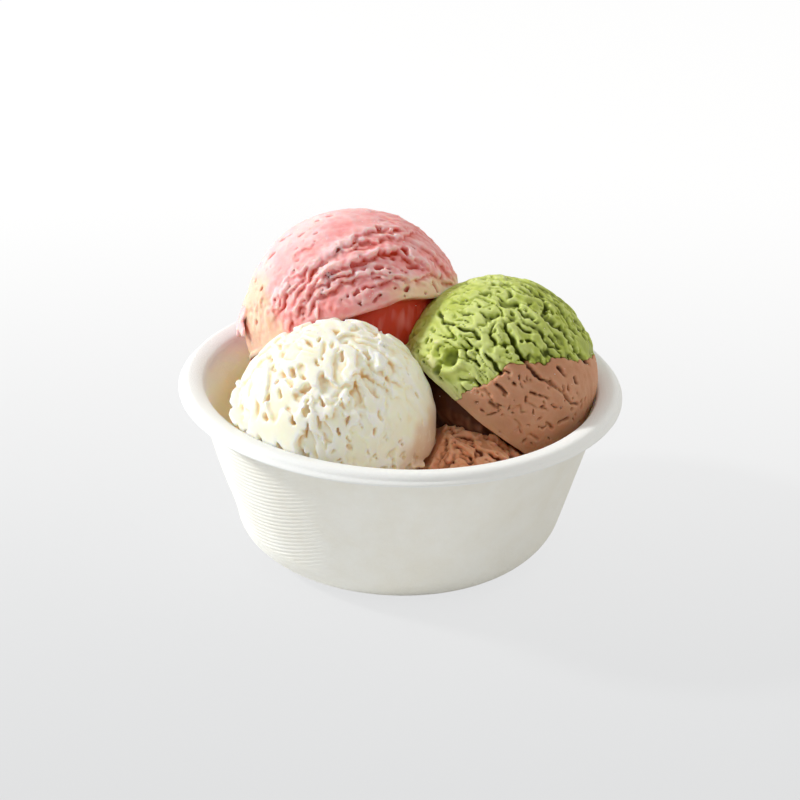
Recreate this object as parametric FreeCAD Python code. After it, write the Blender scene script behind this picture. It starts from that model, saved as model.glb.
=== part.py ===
import FreeCAD, Part
import math
import os

# A round moulded fibre bowl holding four scoops of ice cream.
# Millimetres.  The origin is the middle of the flat base, Z is up and the
# eater's side of the bowl faces -Y.

# ---- bowl ------------------------------------------------------------------
BOWL_HEIGHT = 52.0
RIM_OUTER_RADIUS = 65.0
RIM_CREST_RADIUS = 62.0
RIM_LIP_DROP = 2.9            # height of the turned-out lip under the crest
LIP_EDGE_INSET = 0.5          # lower lip edge stands in from the widest point
WALL_LEAN = 15.7              # degrees the wall opens outwards
BASE_RADIUS = 34.0            # flat part of the base
CORNER_RADIUS = 15.6          # outside radius between base and wall
WALL_THICK = 1.5
FLOOR_THICK = 1.6
SHOULDER_RADIUS = 57.9        # where the inside wall turns into the shoulder
SHOULDER_DROP = 1.1           # depth of that turn under the crest
INNER_TOP_DROP = 2.9          # depth at which the inside wall is straight
INNER_TOP_RADIUS = 57.2
FLOOR_INSET = 0.4             # inside floor edge stands in from the outside one
SHOULDER_BULGE = 0.28         # share of the shoulder drop at its middle
TURN_INSET = 0.12             # roundness of the turn from wall to shoulder
TURN_LIFT = 0.15
BROW_INSET = 0.9              # upper outside of the lip
BROW_DROP = 0.65
WIDEST_SHARE = 0.42           # height of the widest point as a share of the lip
NOSE_INSET = 0.12             # rounding between widest point and lower edge
NOSE_SHARE = 0.18

# ---- scoops ----------------------------------------------------------------
RING_POINTS = 32              # points on each ring of a scoop
POLE_STEP = 7.0               # degrees from the pole to the first ring
DOME_ROWS = 8
UNDER_ROWS = 5
UNDER_FIRST = 12.0            # degrees below the lip of the first underside ring
UNDER_LAST = 80.0

STRAWBERRY_CENTRE = (-14.8, 20.0, 60.7)
STRAWBERRY_AXIS = (-0.383, 0.386, 0.839)
STRAWBERRY_RADIUS = 33.1
STRAWBERRY_DEPTH = 24.0       # from the lip down to the underside
STRAWBERRY_TAPER = 0.93       # underside radius beside the lip radius

VANILLA_CENTRE = (-18.3, -22.6, 47.4)
VANILLA_AXIS = (0.18, -0.08, 0.98)
VANILLA_RADIUS = 28.8
VANILLA_DEPTH = 25.0
VANILLA_TAPER = 0.95

PAIR_CENTRE = (28.2, 0.0, 53.0)
PAIR_AXIS = (0.600, 0.239, 0.759)
PAIR_RADIUS = 29.2
PAIR_LIP_DROP = 10.9          # the lip lies this far under the ball centre
PAIR_DEPTH = 13.0
PAIR_TAPER = 0.78
PAIR_CLEARANCE = 1.025        # hollow the pair leaves in the strawberry scoop
PAIR_ROOM_RADIUS = 25.5       # hollow the pair leaves in the chocolate scoop
PAIR_ROOM_RISE = 10.5         # middle of that hollow over the lip plane
PAIR_ROOM_DROP = 2.0          # gap under the flared lip

CHOCOLATE_CENTRE = (18.5, -22.5, 20.5)
CHOCOLATE_AXIS = (0.05, -0.10, 1.0)
CHOCOLATE_RADIUS = 25.0
CHOCOLATE_RISE = 25.5
CHOCOLATE_DEPTH = 17.0
CHOCOLATE_TAPER = 0.9

LIP_FLARE = 0.8               # a pressed-out lip stands proud by this much
LIP_THICK = 2.0
LIP_EDGE_SHARE = 0.3          # flare left at the lower edge of the lip
LIP_EDGE_DROP = 0.6           # that edge lies this share of the thickness down

# ---- where scoops press on each other --------------------------------------
# Each flat is (direction from the first scoop to the second, distance of the
# flat from the first scoop's centre along that direction).
VANILLA_TO_STRAWBERRY = (0.07, 0.966, 0.25)
VANILLA_FLAT_REACH = 18.4
CHOCOLATE_TO_VANILLA = (-0.80, 0.02, 0.60)
CHOCOLATE_FLAT_REACH = 19.5
PAIR_TO_VANILLA = (-0.895, -0.438, -0.09)
PAIR_FLAT_REACH = 26.5

# ---- surface where the two flavours of the pair meet ------------------------
SEAM_LEAN = 24.7              # degrees the surface falls towards the eater
SEAM_RISE = 3.2
SEAM_TILT = 0.12
SEAM_DROP = 10.0              # how far the seam falls away at its left end
SEAM_DROP_AT = -5.0
SEAM_DROP_WIDTH = 3.0
SEAM_WAVE = 0.7
SEAM_WAVE_LENGTH = 13.0
SEAM_HALF = 45.0
SEAM_STEPS = 30

BLOCK_SIZE = 160.0            # blocks used for cutting, larger than the bowl

PART_DIR = "parts"


def point(radius, height):
    """Point of the bowl section in the XZ plane."""
    return FreeCAD.Vector(radius, 0.0, height)


def line(start, end):
    """Straight edge of a section."""
    return Part.LineSegment(start, end).toShape()


def arc(start, middle, end):
    """Round edge of a section through three points."""
    return Part.Arc(start, middle, end).toShape()


def spun(edges):
    """Closed section turned once round the Z axis."""
    face = Part.Face(Part.Wire(edges))
    return face.revolve(FreeCAD.Vector(0, 0, 0), FreeCAD.Vector(0, 0, 1), 360)


def corner(radius_at_floor, floor, bend):
    """Start, middle and end of the round corner between floor and wall."""
    turn = math.radians(90.0 - WALL_LEAN)
    centre = (radius_at_floor, floor + bend)
    half = turn / 2.0
    start = point(centre[0], floor)
    middle = point(centre[0] + bend * math.sin(half), centre[1] - bend * math.cos(half))
    end = point(centre[0] + bend * math.sin(turn), centre[1] - bend * math.cos(turn))
    return start, middle, end


def outer_wall_radius(height):
    """Outside radius of the straight wall at a height."""
    end = corner(BASE_RADIUS, 0.0, CORNER_RADIUS)[2]
    return end.x + (height - end.z) * math.tan(math.radians(WALL_LEAN))


def inner_edges():
    """Inside of the bowl from the middle of the floor to the rim crest."""
    bend = CORNER_RADIUS - WALL_THICK
    start, middle, end = corner(BASE_RADIUS - FLOOR_INSET, FLOOR_THICK, bend)
    wall_top = point(INNER_TOP_RADIUS, BOWL_HEIGHT - INNER_TOP_DROP)
    shoulder = point(SHOULDER_RADIUS, BOWL_HEIGHT - SHOULDER_DROP)
    crest = point(RIM_CREST_RADIUS, BOWL_HEIGHT)
    over = point(
        (SHOULDER_RADIUS + RIM_CREST_RADIUS) / 2.0,
        BOWL_HEIGHT - SHOULDER_DROP * SHOULDER_BULGE,
    )
    turn = point(
        (INNER_TOP_RADIUS + SHOULDER_RADIUS) / 2.0 - TURN_INSET,
        BOWL_HEIGHT - (SHOULDER_DROP + INNER_TOP_DROP) / 2.0 + TURN_LIFT,
    )
    return [
        line(point(0.0, FLOOR_THICK), start),
        arc(start, middle, end),
        line(end, wall_top),
        arc(wall_top, turn, shoulder),
        arc(shoulder, over, crest),
    ]


def bowl():
    """Bowl with a flat base, leaning wall and turned-out rounded lip."""
    start, middle, end = corner(BASE_RADIUS, 0.0, CORNER_RADIUS)
    lip_foot = BOWL_HEIGHT - RIM_LIP_DROP
    wall_top = point(outer_wall_radius(lip_foot), lip_foot)
    lip_edge = point(RIM_OUTER_RADIUS - LIP_EDGE_INSET, lip_foot)
    widest = point(RIM_OUTER_RADIUS, lip_foot + RIM_LIP_DROP * WIDEST_SHARE)
    crest = point(RIM_CREST_RADIUS, BOWL_HEIGHT)
    brow = point(RIM_OUTER_RADIUS - BROW_INSET, BOWL_HEIGHT - BROW_DROP)
    nose = point(RIM_OUTER_RADIUS - NOSE_INSET, lip_foot + RIM_LIP_DROP * NOSE_SHARE)
    outside = [
        arc(crest, brow, widest),
        arc(widest, nose, lip_edge),
        line(lip_edge, wall_top),
        line(wall_top, end),
        arc(end, middle, start),
        line(start, point(0.0, 0.0)),
        line(point(0.0, 0.0), point(0.0, FLOOR_THICK)),
    ]
    return spun(inner_edges() + outside)


def bowl_keep_out():
    """Everything outside the bowl's inner surface, up to the rim crest."""
    far = BLOCK_SIZE / 2.0
    low = -BLOCK_SIZE / 4.0
    closing = [
        line(point(RIM_CREST_RADIUS, BOWL_HEIGHT), point(far, BOWL_HEIGHT)),
        line(point(far, BOWL_HEIGHT), point(far, low)),
        line(point(far, low), point(0.0, low)),
        line(point(0.0, low), point(0.0, FLOOR_THICK)),
    ]
    return spun(inner_edges() + closing)


def ring(radius, height, lumps):
    """Closed smooth ring whose radius swells and sinks in a few lumps."""
    points = []
    for step in range(RING_POINTS):
        angle = 2.0 * math.pi * step / RING_POINTS
        swell = 1.0
        for count, size, phase, twist in lumps:
            swell += size * math.cos(count * angle + phase + twist * height)
        reach = radius * swell
        points.append(FreeCAD.Vector(reach * math.cos(angle), reach * math.sin(angle), height))
    curve = Part.BSplineCurve()
    curve.interpolate(Points=points, PeriodicFlag=True)
    return Part.Wire(curve.toShape())


def dome_rows(radius, rise, lip_drop):
    """(radius, height) from the pole down to the lip of a scoop."""
    last = math.degrees(math.acos(-lip_drop / rise))
    rows = []
    for row in range(DOME_ROWS):
        share = row / (DOME_ROWS - 1)
        angle = math.radians(POLE_STEP + share * (last - POLE_STEP))
        rows.append((radius * math.sin(angle), rise * math.cos(angle)))
    return rows


def under_rows(lip_radius, lip_height, depth, taper):
    """(radius, height) from under the lip down to the foot of a scoop."""
    rows = []
    for row in range(UNDER_ROWS):
        share = row / (UNDER_ROWS - 1)
        angle = math.radians(UNDER_FIRST + share * (UNDER_LAST - UNDER_FIRST))
        rows.append((lip_radius * taper * math.cos(angle), lip_height - depth * math.sin(angle)))
    return rows


def scoop(radius, rise, lip_drop, depth, taper, lumps):
    """Scoop in its own frame: dome up, pressed-out lip, rounded underside."""
    dome = dome_rows(radius, rise, lip_drop)
    lip_radius, lip_height = dome[-1]
    edge_height = lip_height - LIP_THICK * LIP_EDGE_DROP
    rows = dome[:-1]
    rows.append((lip_radius + LIP_FLARE, lip_height))
    rows.append((lip_radius + LIP_FLARE * LIP_EDGE_SHARE, edge_height))
    rows += under_rows(lip_radius, edge_height, depth, taper)
    rings = []
    for reach, height in rows:
        rings.append(ring(reach, height, lumps))
    return Part.makeLoft(rings, True, False)


def placed(shape, centre, axis):
    """Scoop moved so that its pole points along the axis."""
    turn = FreeCAD.Rotation(FreeCAD.Vector(0, 0, 1), FreeCAD.Vector(*axis))
    moved = shape.copy()
    moved.Placement = FreeCAD.Placement(FreeCAD.Vector(*centre), turn)
    return moved


def beyond(centre, direction, reach):
    """Block that fills the far side of a contact flat."""
    start = FreeCAD.Vector(-BLOCK_SIZE / 2, -BLOCK_SIZE / 2, 0)
    block = Part.makeBox(BLOCK_SIZE, BLOCK_SIZE, BLOCK_SIZE, start)
    way = FreeCAD.Vector(*direction)
    way.normalize()
    base = FreeCAD.Vector(*centre) + way * reach
    block.Placement = FreeCAD.Placement(base, FreeCAD.Rotation(FreeCAD.Vector(0, 0, 1), way))
    return block


def strawberry_scoop(walls):
    """Large back scoop, leaning back, resting on the vanilla scoop."""
    lumps = [(2, 0.012, 0.4, 0.02), (3, 0.010, 1.3, -0.03), (5, 0.006, 2.0, 0.05)]
    shape = scoop(
        STRAWBERRY_RADIUS, STRAWBERRY_RADIUS, 0.0, STRAWBERRY_DEPTH, STRAWBERRY_TAPER, lumps
    )
    shape = placed(shape, STRAWBERRY_CENTRE, STRAWBERRY_AXIS)
    vanilla_side = beyond(VANILLA_CENTRE, VANILLA_TO_STRAWBERRY, VANILLA_FLAT_REACH)
    pair_ball = Part.makeSphere(PAIR_RADIUS * PAIR_CLEARANCE, FreeCAD.Vector(*PAIR_CENTRE))
    return shape.common(vanilla_side).cut(pair_ball).cut(walls)


def vanilla_scoop(walls):
    """Front left scoop with a soft low lip."""
    lumps = [(2, 0.010, 1.1, 0.02), (3, 0.012, 0.2, 0.04), (7, 0.005, 0.9, 0.03)]
    shape = scoop(VANILLA_RADIUS, VANILLA_RADIUS, 0.0, VANILLA_DEPTH, VANILLA_TAPER, lumps)
    shape = placed(shape, VANILLA_CENTRE, VANILLA_AXIS)
    strawberry_side = beyond(VANILLA_CENTRE, VANILLA_TO_STRAWBERRY, VANILLA_FLAT_REACH)
    pair_side = beyond(PAIR_CENTRE, PAIR_TO_VANILLA, PAIR_FLAT_REACH)
    chocolate_side = beyond(CHOCOLATE_CENTRE, CHOCOLATE_TO_VANILLA, CHOCOLATE_FLAT_REACH)
    return shape.cut(strawberry_side).common(pair_side).common(chocolate_side).cut(walls)


def pair_room():
    """Room that the pair takes over and in the top of the chocolate scoop."""
    length = math.sqrt(sum(value * value for value in PAIR_AXIS))
    plane_drop = PAIR_LIP_DROP + PAIR_ROOM_DROP
    way = tuple(-value / length for value in PAIR_AXIS)
    over = PAIR_ROOM_RISE - PAIR_LIP_DROP
    middle = FreeCAD.Vector(*(at - over * turn for at, turn in zip(PAIR_CENTRE, way)))
    above = beyond(PAIR_CENTRE, tuple(-value for value in way), -plane_drop)
    return above.fuse(Part.makeSphere(PAIR_ROOM_RADIUS, middle))


def chocolate_scoop(walls):
    """Low front scoop squashed under the others; the pair has sunk into its top."""
    lumps = [(2, 0.02, 0.3, 0.02), (5, 0.016, 1.9, 0.03), (9, 0.012, 0.4, 0.05)]
    shape = scoop(
        CHOCOLATE_RADIUS, CHOCOLATE_RISE, 0.0, CHOCOLATE_DEPTH, CHOCOLATE_TAPER, lumps
    )
    shape = placed(shape, CHOCOLATE_CENTRE, CHOCOLATE_AXIS)
    vanilla_side = beyond(CHOCOLATE_CENTRE, CHOCOLATE_TO_VANILLA, CHOCOLATE_FLAT_REACH)
    return shape.cut(vanilla_side).cut(pair_room()).cut(walls)


def pair_scoop(walls):
    """Front right scoop of two flavours, before it is parted at the seam."""
    lumps = [(2, 0.010, 2.1, 0.02), (3, 0.008, 0.7, 0.03), (6, 0.006, 0.1, 0.05)]
    shape = scoop(PAIR_RADIUS, PAIR_RADIUS, PAIR_LIP_DROP, PAIR_DEPTH, PAIR_TAPER, lumps)
    shape = placed(shape, PAIR_CENTRE, PAIR_AXIS)
    vanilla_side = beyond(PAIR_CENTRE, PAIR_TO_VANILLA, PAIR_FLAT_REACH)
    return shape.cut(vanilla_side).cut(walls)


def seam_height(across):
    """Height of the flavour seam over its own plane."""
    fall = SEAM_DROP / (1.0 + math.exp((across - SEAM_DROP_AT) / SEAM_DROP_WIDTH))
    wave = SEAM_WAVE * math.sin(2.0 * math.pi * across / SEAM_WAVE_LENGTH)
    return SEAM_RISE + SEAM_TILT * across + wave - fall


def lower_flavour_block():
    """Block under the seam surface, used to part the two flavours."""
    points = []
    for step in range(SEAM_STEPS + 1):
        across = -SEAM_HALF + 2.0 * SEAM_HALF * step / SEAM_STEPS
        points.append(FreeCAD.Vector(across, -SEAM_HALF, seam_height(across)))
    curve = Part.BSplineCurve()
    curve.interpolate(points)
    low_right = FreeCAD.Vector(SEAM_HALF, -SEAM_HALF, -SEAM_HALF)
    low_left = FreeCAD.Vector(-SEAM_HALF, -SEAM_HALF, -SEAM_HALF)
    outline = Part.Wire([
        curve.toShape(),
        line(points[-1], low_right),
        line(low_right, low_left),
        line(low_left, points[0]),
    ])
    block = Part.Face(outline).extrude(FreeCAD.Vector(0, 2.0 * SEAM_HALF, 0))
    turn = FreeCAD.Rotation(FreeCAD.Vector(1, 0, 0), -SEAM_LEAN)
    block.Placement = FreeCAD.Placement(FreeCAD.Vector(*PAIR_CENTRE), turn)
    return block


def biggest_solid(shape):
    """The one solid left after the cuts, without slivers."""
    solids = sorted(shape.Solids, key=lambda solid: solid.Volume)
    return solids[-1]


def main():
    """Build every node and write it to its own file."""
    os.makedirs(PART_DIR, exist_ok=True)
    walls = bowl_keep_out()
    pair = biggest_solid(pair_scoop(walls))
    lower = lower_flavour_block()
    nodes = {
        "bowl": bowl(),
        "strawberry_scoop": strawberry_scoop(walls),
        "vanilla_scoop": vanilla_scoop(walls),
        "pistachio_half": pair.cut(lower),
        "cocoa_half": pair.common(lower),
        "chocolate_scoop": chocolate_scoop(walls),
    }
    for name, shape in nodes.items():
        solid = biggest_solid(shape)
        box = solid.BoundBox
        print(name, len(shape.Solids), solid.isValid(), round(solid.Volume / 1000.0, 2), "cm3",
              [round(v, 1) for v in (box.XMin, box.XMax, box.YMin, box.YMax, box.ZMin, box.ZMax)])
        solid.exportStep(os.path.join(PART_DIR, name + ".step"))


main()
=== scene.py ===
"""Looks of an open bowl of ice cream scoops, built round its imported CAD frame.

The bowl is spun by a Geometry Nodes tree.  Each scoop is carved as a block of
signed distances, the way a disher shears frozen cream: a ball with a pressed
lip, torn folds along the drag, air holes and cracks, cut flat where it leans
on its neighbour.  Blender works in metres, the carving works in millimetres,
and a scoop's (u, v, w) are right, up and front as shares of its radius, as
the eater sees them.
"""
from __future__ import annotations

import logging
import math
from dataclasses import dataclass, field
from typing import Callable

import bmesh
import bpy
import numpy as np
import openvdb
from mathutils import Matrix, Vector

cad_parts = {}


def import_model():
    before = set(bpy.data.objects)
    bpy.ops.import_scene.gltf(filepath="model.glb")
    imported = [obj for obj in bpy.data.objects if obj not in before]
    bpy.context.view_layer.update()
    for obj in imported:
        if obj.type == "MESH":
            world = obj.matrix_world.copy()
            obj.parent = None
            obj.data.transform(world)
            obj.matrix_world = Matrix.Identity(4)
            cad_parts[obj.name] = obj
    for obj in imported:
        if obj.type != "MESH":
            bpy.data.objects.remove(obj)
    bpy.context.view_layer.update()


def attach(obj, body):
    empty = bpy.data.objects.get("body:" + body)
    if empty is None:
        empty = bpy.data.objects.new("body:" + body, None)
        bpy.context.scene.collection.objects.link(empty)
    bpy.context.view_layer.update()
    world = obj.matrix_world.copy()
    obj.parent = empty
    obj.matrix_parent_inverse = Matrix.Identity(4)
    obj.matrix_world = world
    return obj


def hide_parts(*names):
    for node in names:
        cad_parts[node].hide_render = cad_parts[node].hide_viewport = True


Spot = tuple[float, float, float]
Path = tuple[tuple[float, float], ...]

LOG = logging.getLogger("ice_cream_bowl")
MM = 0.001
BODY = "root"
VIEW_DROP = math.radians(24.7)      # how far the eater looks down on the bowl
VIEW_ROLL = math.radians(2.0)
RIGHT = np.array([1.0, 0.0, 0.0])
UP = np.array([0.0, math.sin(VIEW_DROP), math.cos(VIEW_DROP)])
FRONT = np.array([0.0, -math.cos(VIEW_DROP), math.sin(VIEW_DROP)])
EATER = np.stack([RIGHT, UP, FRONT])     # rows turn world into eater's axes
BOWL_LEAN = math.radians(15.7)
BOWL_MIDDLE = 58.0            # radius of the middle of the wall at the lip foot, millimetres
LIP_FOOT = 49.1               # height of the lip foot, millimetres
BAND = 4.5                    # depth of skin that is worked in detail, millimetres
CHUNK = 2_000_000             # grid points worked out at a time
EDGE = 3.0                    # distance past which a block only says in or out, millimetres
SEAM_SLOPE = 0.8              # turns height over the wavy seam into distance, about
WALL_GAP = 0.05               # between the cream and the inside of the bowl, millimetres

# node kinds that come up often
MATH = "ShaderNodeMath"
RANGE = "ShaderNodeMapRange"
MIX = "ShaderNodeMix"
CLOUDS = "ShaderNodeTexNoise"
SPLIT = "ShaderNodeSeparateXYZ"
JOIN = "ShaderNodeCombineXYZ"
SKIN = "ShaderNodeBsdfPrincipled"
OUTPUT = "ShaderNodeOutputMaterial"


# ---- small helpers -----------------------------------------------------------
def srgb(code: str) -> tuple[float, float, float, float]:
    """Turn an sRGB hex colour into linear RGBA.

    Args:
        code: Six hex digits with a leading hash.

    Returns:
        Linear red, green, blue and an alpha of one.
    """
    values = [int(code[k:k + 2], 16) / 255.0 for k in (1, 3, 5)]
    linear = [v / 12.92 if v <= 0.04045 else ((v + 0.055) / 1.055) ** 2.4 for v in values]
    return (linear[0], linear[1], linear[2], 1.0)


def add_node(tree: bpy.types.NodeTree, kind: str, inputs: dict | None = None,
             **settings: object) -> bpy.types.Node:
    """Add one node with its settings, input values and links.

    Args:
        tree: Node tree that gets the node.
        kind: Node type name.
        inputs: Input name or number to a value, a socket, or a node whose first output is meant.
        settings: Attributes of the node, set before its inputs.

    Returns:
        The new node.
    """
    node = tree.nodes.new(kind)
    for key, value in settings.items():
        setattr(node, key, value)
    for key, value in (inputs or {}).items():
        if isinstance(value, bpy.types.Node):
            value = next(out for out in value.outputs if out.enabled)
        if isinstance(value, bpy.types.NodeSocket):
            tree.links.new(value, node.inputs[key])
        else:
            node.inputs[key].default_value = value
    return node


def start_material(name: str) -> tuple[bpy.types.Material, bpy.types.NodeTree, bpy.types.NodeSocket]:
    """Start a node material.

    Args:
        name: Material name.

    Returns:
        The material, its empty tree, and the position on the object.
    """
    made = bpy.data.materials.new(name)
    made.use_nodes = True
    made.node_tree.nodes.clear()
    spot = add_node(made.node_tree, "ShaderNodeTexCoord").outputs["Object"]
    return made, made.node_tree, spot


def start_tree(name: str, inputs: dict[str, str]) -> tuple[bpy.types.NodeTree, bpy.types.NodeOutputs]:
    """Start a Geometry Nodes tree that takes and gives geometry.

    Args:
        name: Tree name.
        inputs: Further input names to their kinds.

    Returns:
        The tree and its inputs, as sockets to link from.
    """
    tree = bpy.data.node_groups.new(name, "GeometryNodeTree")
    for label, kind in {"Geometry": "Geometry", **inputs}.items():
        tree.interface.new_socket(label, in_out="INPUT", socket_type="NodeSocket" + kind)
    tree.interface.new_socket("Geometry", in_out="OUTPUT", socket_type="NodeSocketGeometry")
    return tree, tree.nodes.new("NodeGroupInput").outputs


def smooth(low: float, high: float, x: np.ndarray) -> np.ndarray:
    """Ease x from 0 at low to 1 at high."""
    t = np.clip((x - low) / (high - low), 0.0, 1.0)
    return t * t * (3.0 - 2.0 * t)


def blend_in(a: np.ndarray, b: np.ndarray, soft: float) -> np.ndarray:
    """Union of two distance fields with a fillet of the given size."""
    h = np.clip(0.5 + 0.5 * (b - a) / soft, 0.0, 1.0)
    return b + (a - b) * h - soft * h * (1.0 - h)


def carve_out(a: np.ndarray, b: np.ndarray, soft: float) -> np.ndarray:
    """Intersection of two distance fields with a rounded edge."""
    return -blend_in(-a, -b, soft)


class CreamNoise:
    """Smooth repeating noise, sampled quickly from one prepared volume."""

    CELLS = 16
    STEPS = 8

    def __init__(self, seed: int) -> None:
        """Prepare the volume.

        Args:
            seed: Fixed seed of the lattice directions.
        """
        rng = np.random.default_rng(seed)
        size = self.CELLS * self.STEPS
        grads = rng.normal(size=(self.CELLS,) * 3 + (3,)).astype(np.float32)
        grads /= np.linalg.norm(grads, axis=-1, keepdims=True)
        line = np.arange(size, dtype=np.float32) / self.STEPS
        cell = line.astype(np.int32)
        part = line - cell
        ease = part ** 3 * (part * (part * 6 - 15) + 10)
        total = np.zeros((size,) * 3, np.float32)
        for corner in range(8):
            bits = [(corner >> k) & 1 for k in range(3)]
            spots = [(cell + bit) % self.CELLS for bit in bits]
            g = grads[np.ix_(*spots)]
            shape = [(-1, 1, 1), (1, -1, 1), (1, 1, -1)]
            dot = sum(g[..., k] * (part - bits[k]).reshape(shape[k]) for k in range(3))
            weight = 1.0
            for k in range(3):
                side = ease if bits[k] else 1.0 - ease
                weight = weight * side.reshape(shape[k])
            total += dot * weight
        self.volume = (total * 1.6).ravel()
        self.size = size

    def at(self, points: np.ndarray, wave: float | Spot, shift: float = 0.0) -> np.ndarray:
        """Noise of about -1 to 1 at each point.

        Args:
            points: Positions in millimetres, one per row.
            wave: Wavelength in millimetres, one number or one per axis.
            shift: Moves the pattern so that layers differ.

        Returns:
            One value per point.
        """
        step = self.STEPS / np.asarray(wave, dtype=np.float32)
        q = points * step + shift * np.float32(37.7) + np.float32(4096.0)
        base = q.astype(np.int32)
        part = q - base
        n = self.size
        ix, iy, iz = (base[:, k] % n for k in range(3))
        jx, jy, jz = ((base[:, k] + 1) % n for k in range(3))
        fx, fy, fz = part[:, 0], part[:, 1], part[:, 2]
        v = self.volume

        def edge(x: np.ndarray, y: np.ndarray) -> np.ndarray:
            """Value on the vertical lattice edge over (x, y)."""
            low, high = (v[(x * n + y) * n + z] for z in (iz, jz))
            return low + (high - low) * fz

        a = edge(ix, iy)
        a = a + (edge(jx, iy) - a) * fx
        b = edge(ix, jy)
        b = b + (edge(jx, jy) - b) * fx
        return a + (b - a) * fy

    def torn(self, points: np.ndarray, wave: float, octaves: int, shift: float = 0.0) -> np.ndarray:
        """Layered noise with finer detail on top, for torn edges.

        Args:
            points: Positions in millimetres, one per row.
            wave: Longest wavelength, millimetres.
            octaves: Number of layers.
            shift: Moves the pattern so that layers differ.

        Returns:
            One value per point.
        """
        total = np.zeros(len(points), np.float32)
        share = 1.0
        for k in range(octaves):
            total += share * self.at(points, wave / 2.03 ** k, shift + 3.1 * k)
            share *= 0.5
        return total


NOISE = CreamNoise(11)


def box_blur(values: np.ndarray, half: int) -> np.ndarray:
    """Mean over a cube of cells round each cell.

    Args:
        values: Block of numbers.
        half: Half side of the cube in cells.

    Returns:
        The smoothed block.
    """
    side = 2 * half + 1
    result = np.clip(values, -4.0, 4.0)
    for axis in range(3):
        wide = [(0, 0)] * 3
        wide[axis] = (half + 1, half)
        running = np.cumsum(np.pad(result, wide, mode="edge"), axis=axis, dtype=np.float64)
        upper = np.take(running, range(side, running.shape[axis]), axis=axis)
        lower = np.take(running, range(0, running.shape[axis] - side), axis=axis)
        result = ((upper - lower) / side).astype(np.float32)
    return result


def sample(values: np.ndarray, spots: np.ndarray) -> np.ndarray:
    """Read a block at fractional cell positions.

    Args:
        values: Block of numbers.
        spots: Positions in cells, one per row.

    Returns:
        One value per spot.
    """
    top = np.array(values.shape) - 2
    base = np.clip(np.floor(spots).astype(np.int64), 0, top)
    part = np.clip(spots - base, 0.0, 1.0)
    total = np.zeros(len(spots))
    for corner in range(8):
        bits = np.array([(corner >> k) & 1 for k in range(3)])
        weight = np.prod(np.where(bits, part, 1.0 - part), axis=1)
        cell = base + bits
        total += weight * values[cell[:, 0], cell[:, 1], cell[:, 2]]
    return total


@dataclass(frozen=True)
class Stroke:
    """A crack or a torn edge drawn on the eater's side of a ball.

    Attributes:
        path: Points (right, up) as shares of the ball radius.
        width: Width of a crack, or fade length of a torn edge, millimetres.
        depth: Depth of a crack, or height of a torn edge, millimetres.
    """

    path: Path
    width: float
    depth: float

    def nearest(self, u: np.ndarray, v: np.ndarray, radius: float) -> tuple[np.ndarray, np.ndarray]:
        """Distance to the stroke and which side a point lies on.

        Args:
            u: Points right of the centre, millimetres.
            v: Points above the centre, millimetres.
            radius: Ball radius, millimetres.

        Returns:
            Distance in millimetres, and plus or minus one (plus on the left of the path).
        """
        best = np.full(len(u), 1e9, np.float32)
        side = np.ones(len(u), np.float32)
        for (ax, ay), (bx, by) in zip(self.path[:-1], self.path[1:]):
            ax, ay, bx, by = ax * radius, ay * radius, bx * radius, by * radius
            dx, dy = bx - ax, by - ay
            t = np.clip(((u - ax) * dx + (v - ay) * dy) / (dx * dx + dy * dy), 0.0, 1.0)
            far = np.hypot(u - ax - t * dx, v - ay - t * dy)
            turn = dx * (v - ay) - dy * (u - ax)
            nearer = far < best
            best = np.where(nearer, far, best)
            side = np.where(nearer, np.where(turn > 0.0, 1.0, -1.0), side)
        return best, side


@dataclass
class Hole:
    """One air hole or slit pressed into a scoop.

    Attributes:
        centre: Middle of the hole in the scoop's eater axes, millimetres.
        axes: Three unit rows: along the slit, across it, and into the scoop.
        radii: Half sizes along those rows, millimetres.
    """

    centre: np.ndarray
    axes: np.ndarray
    radii: Spot


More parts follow.
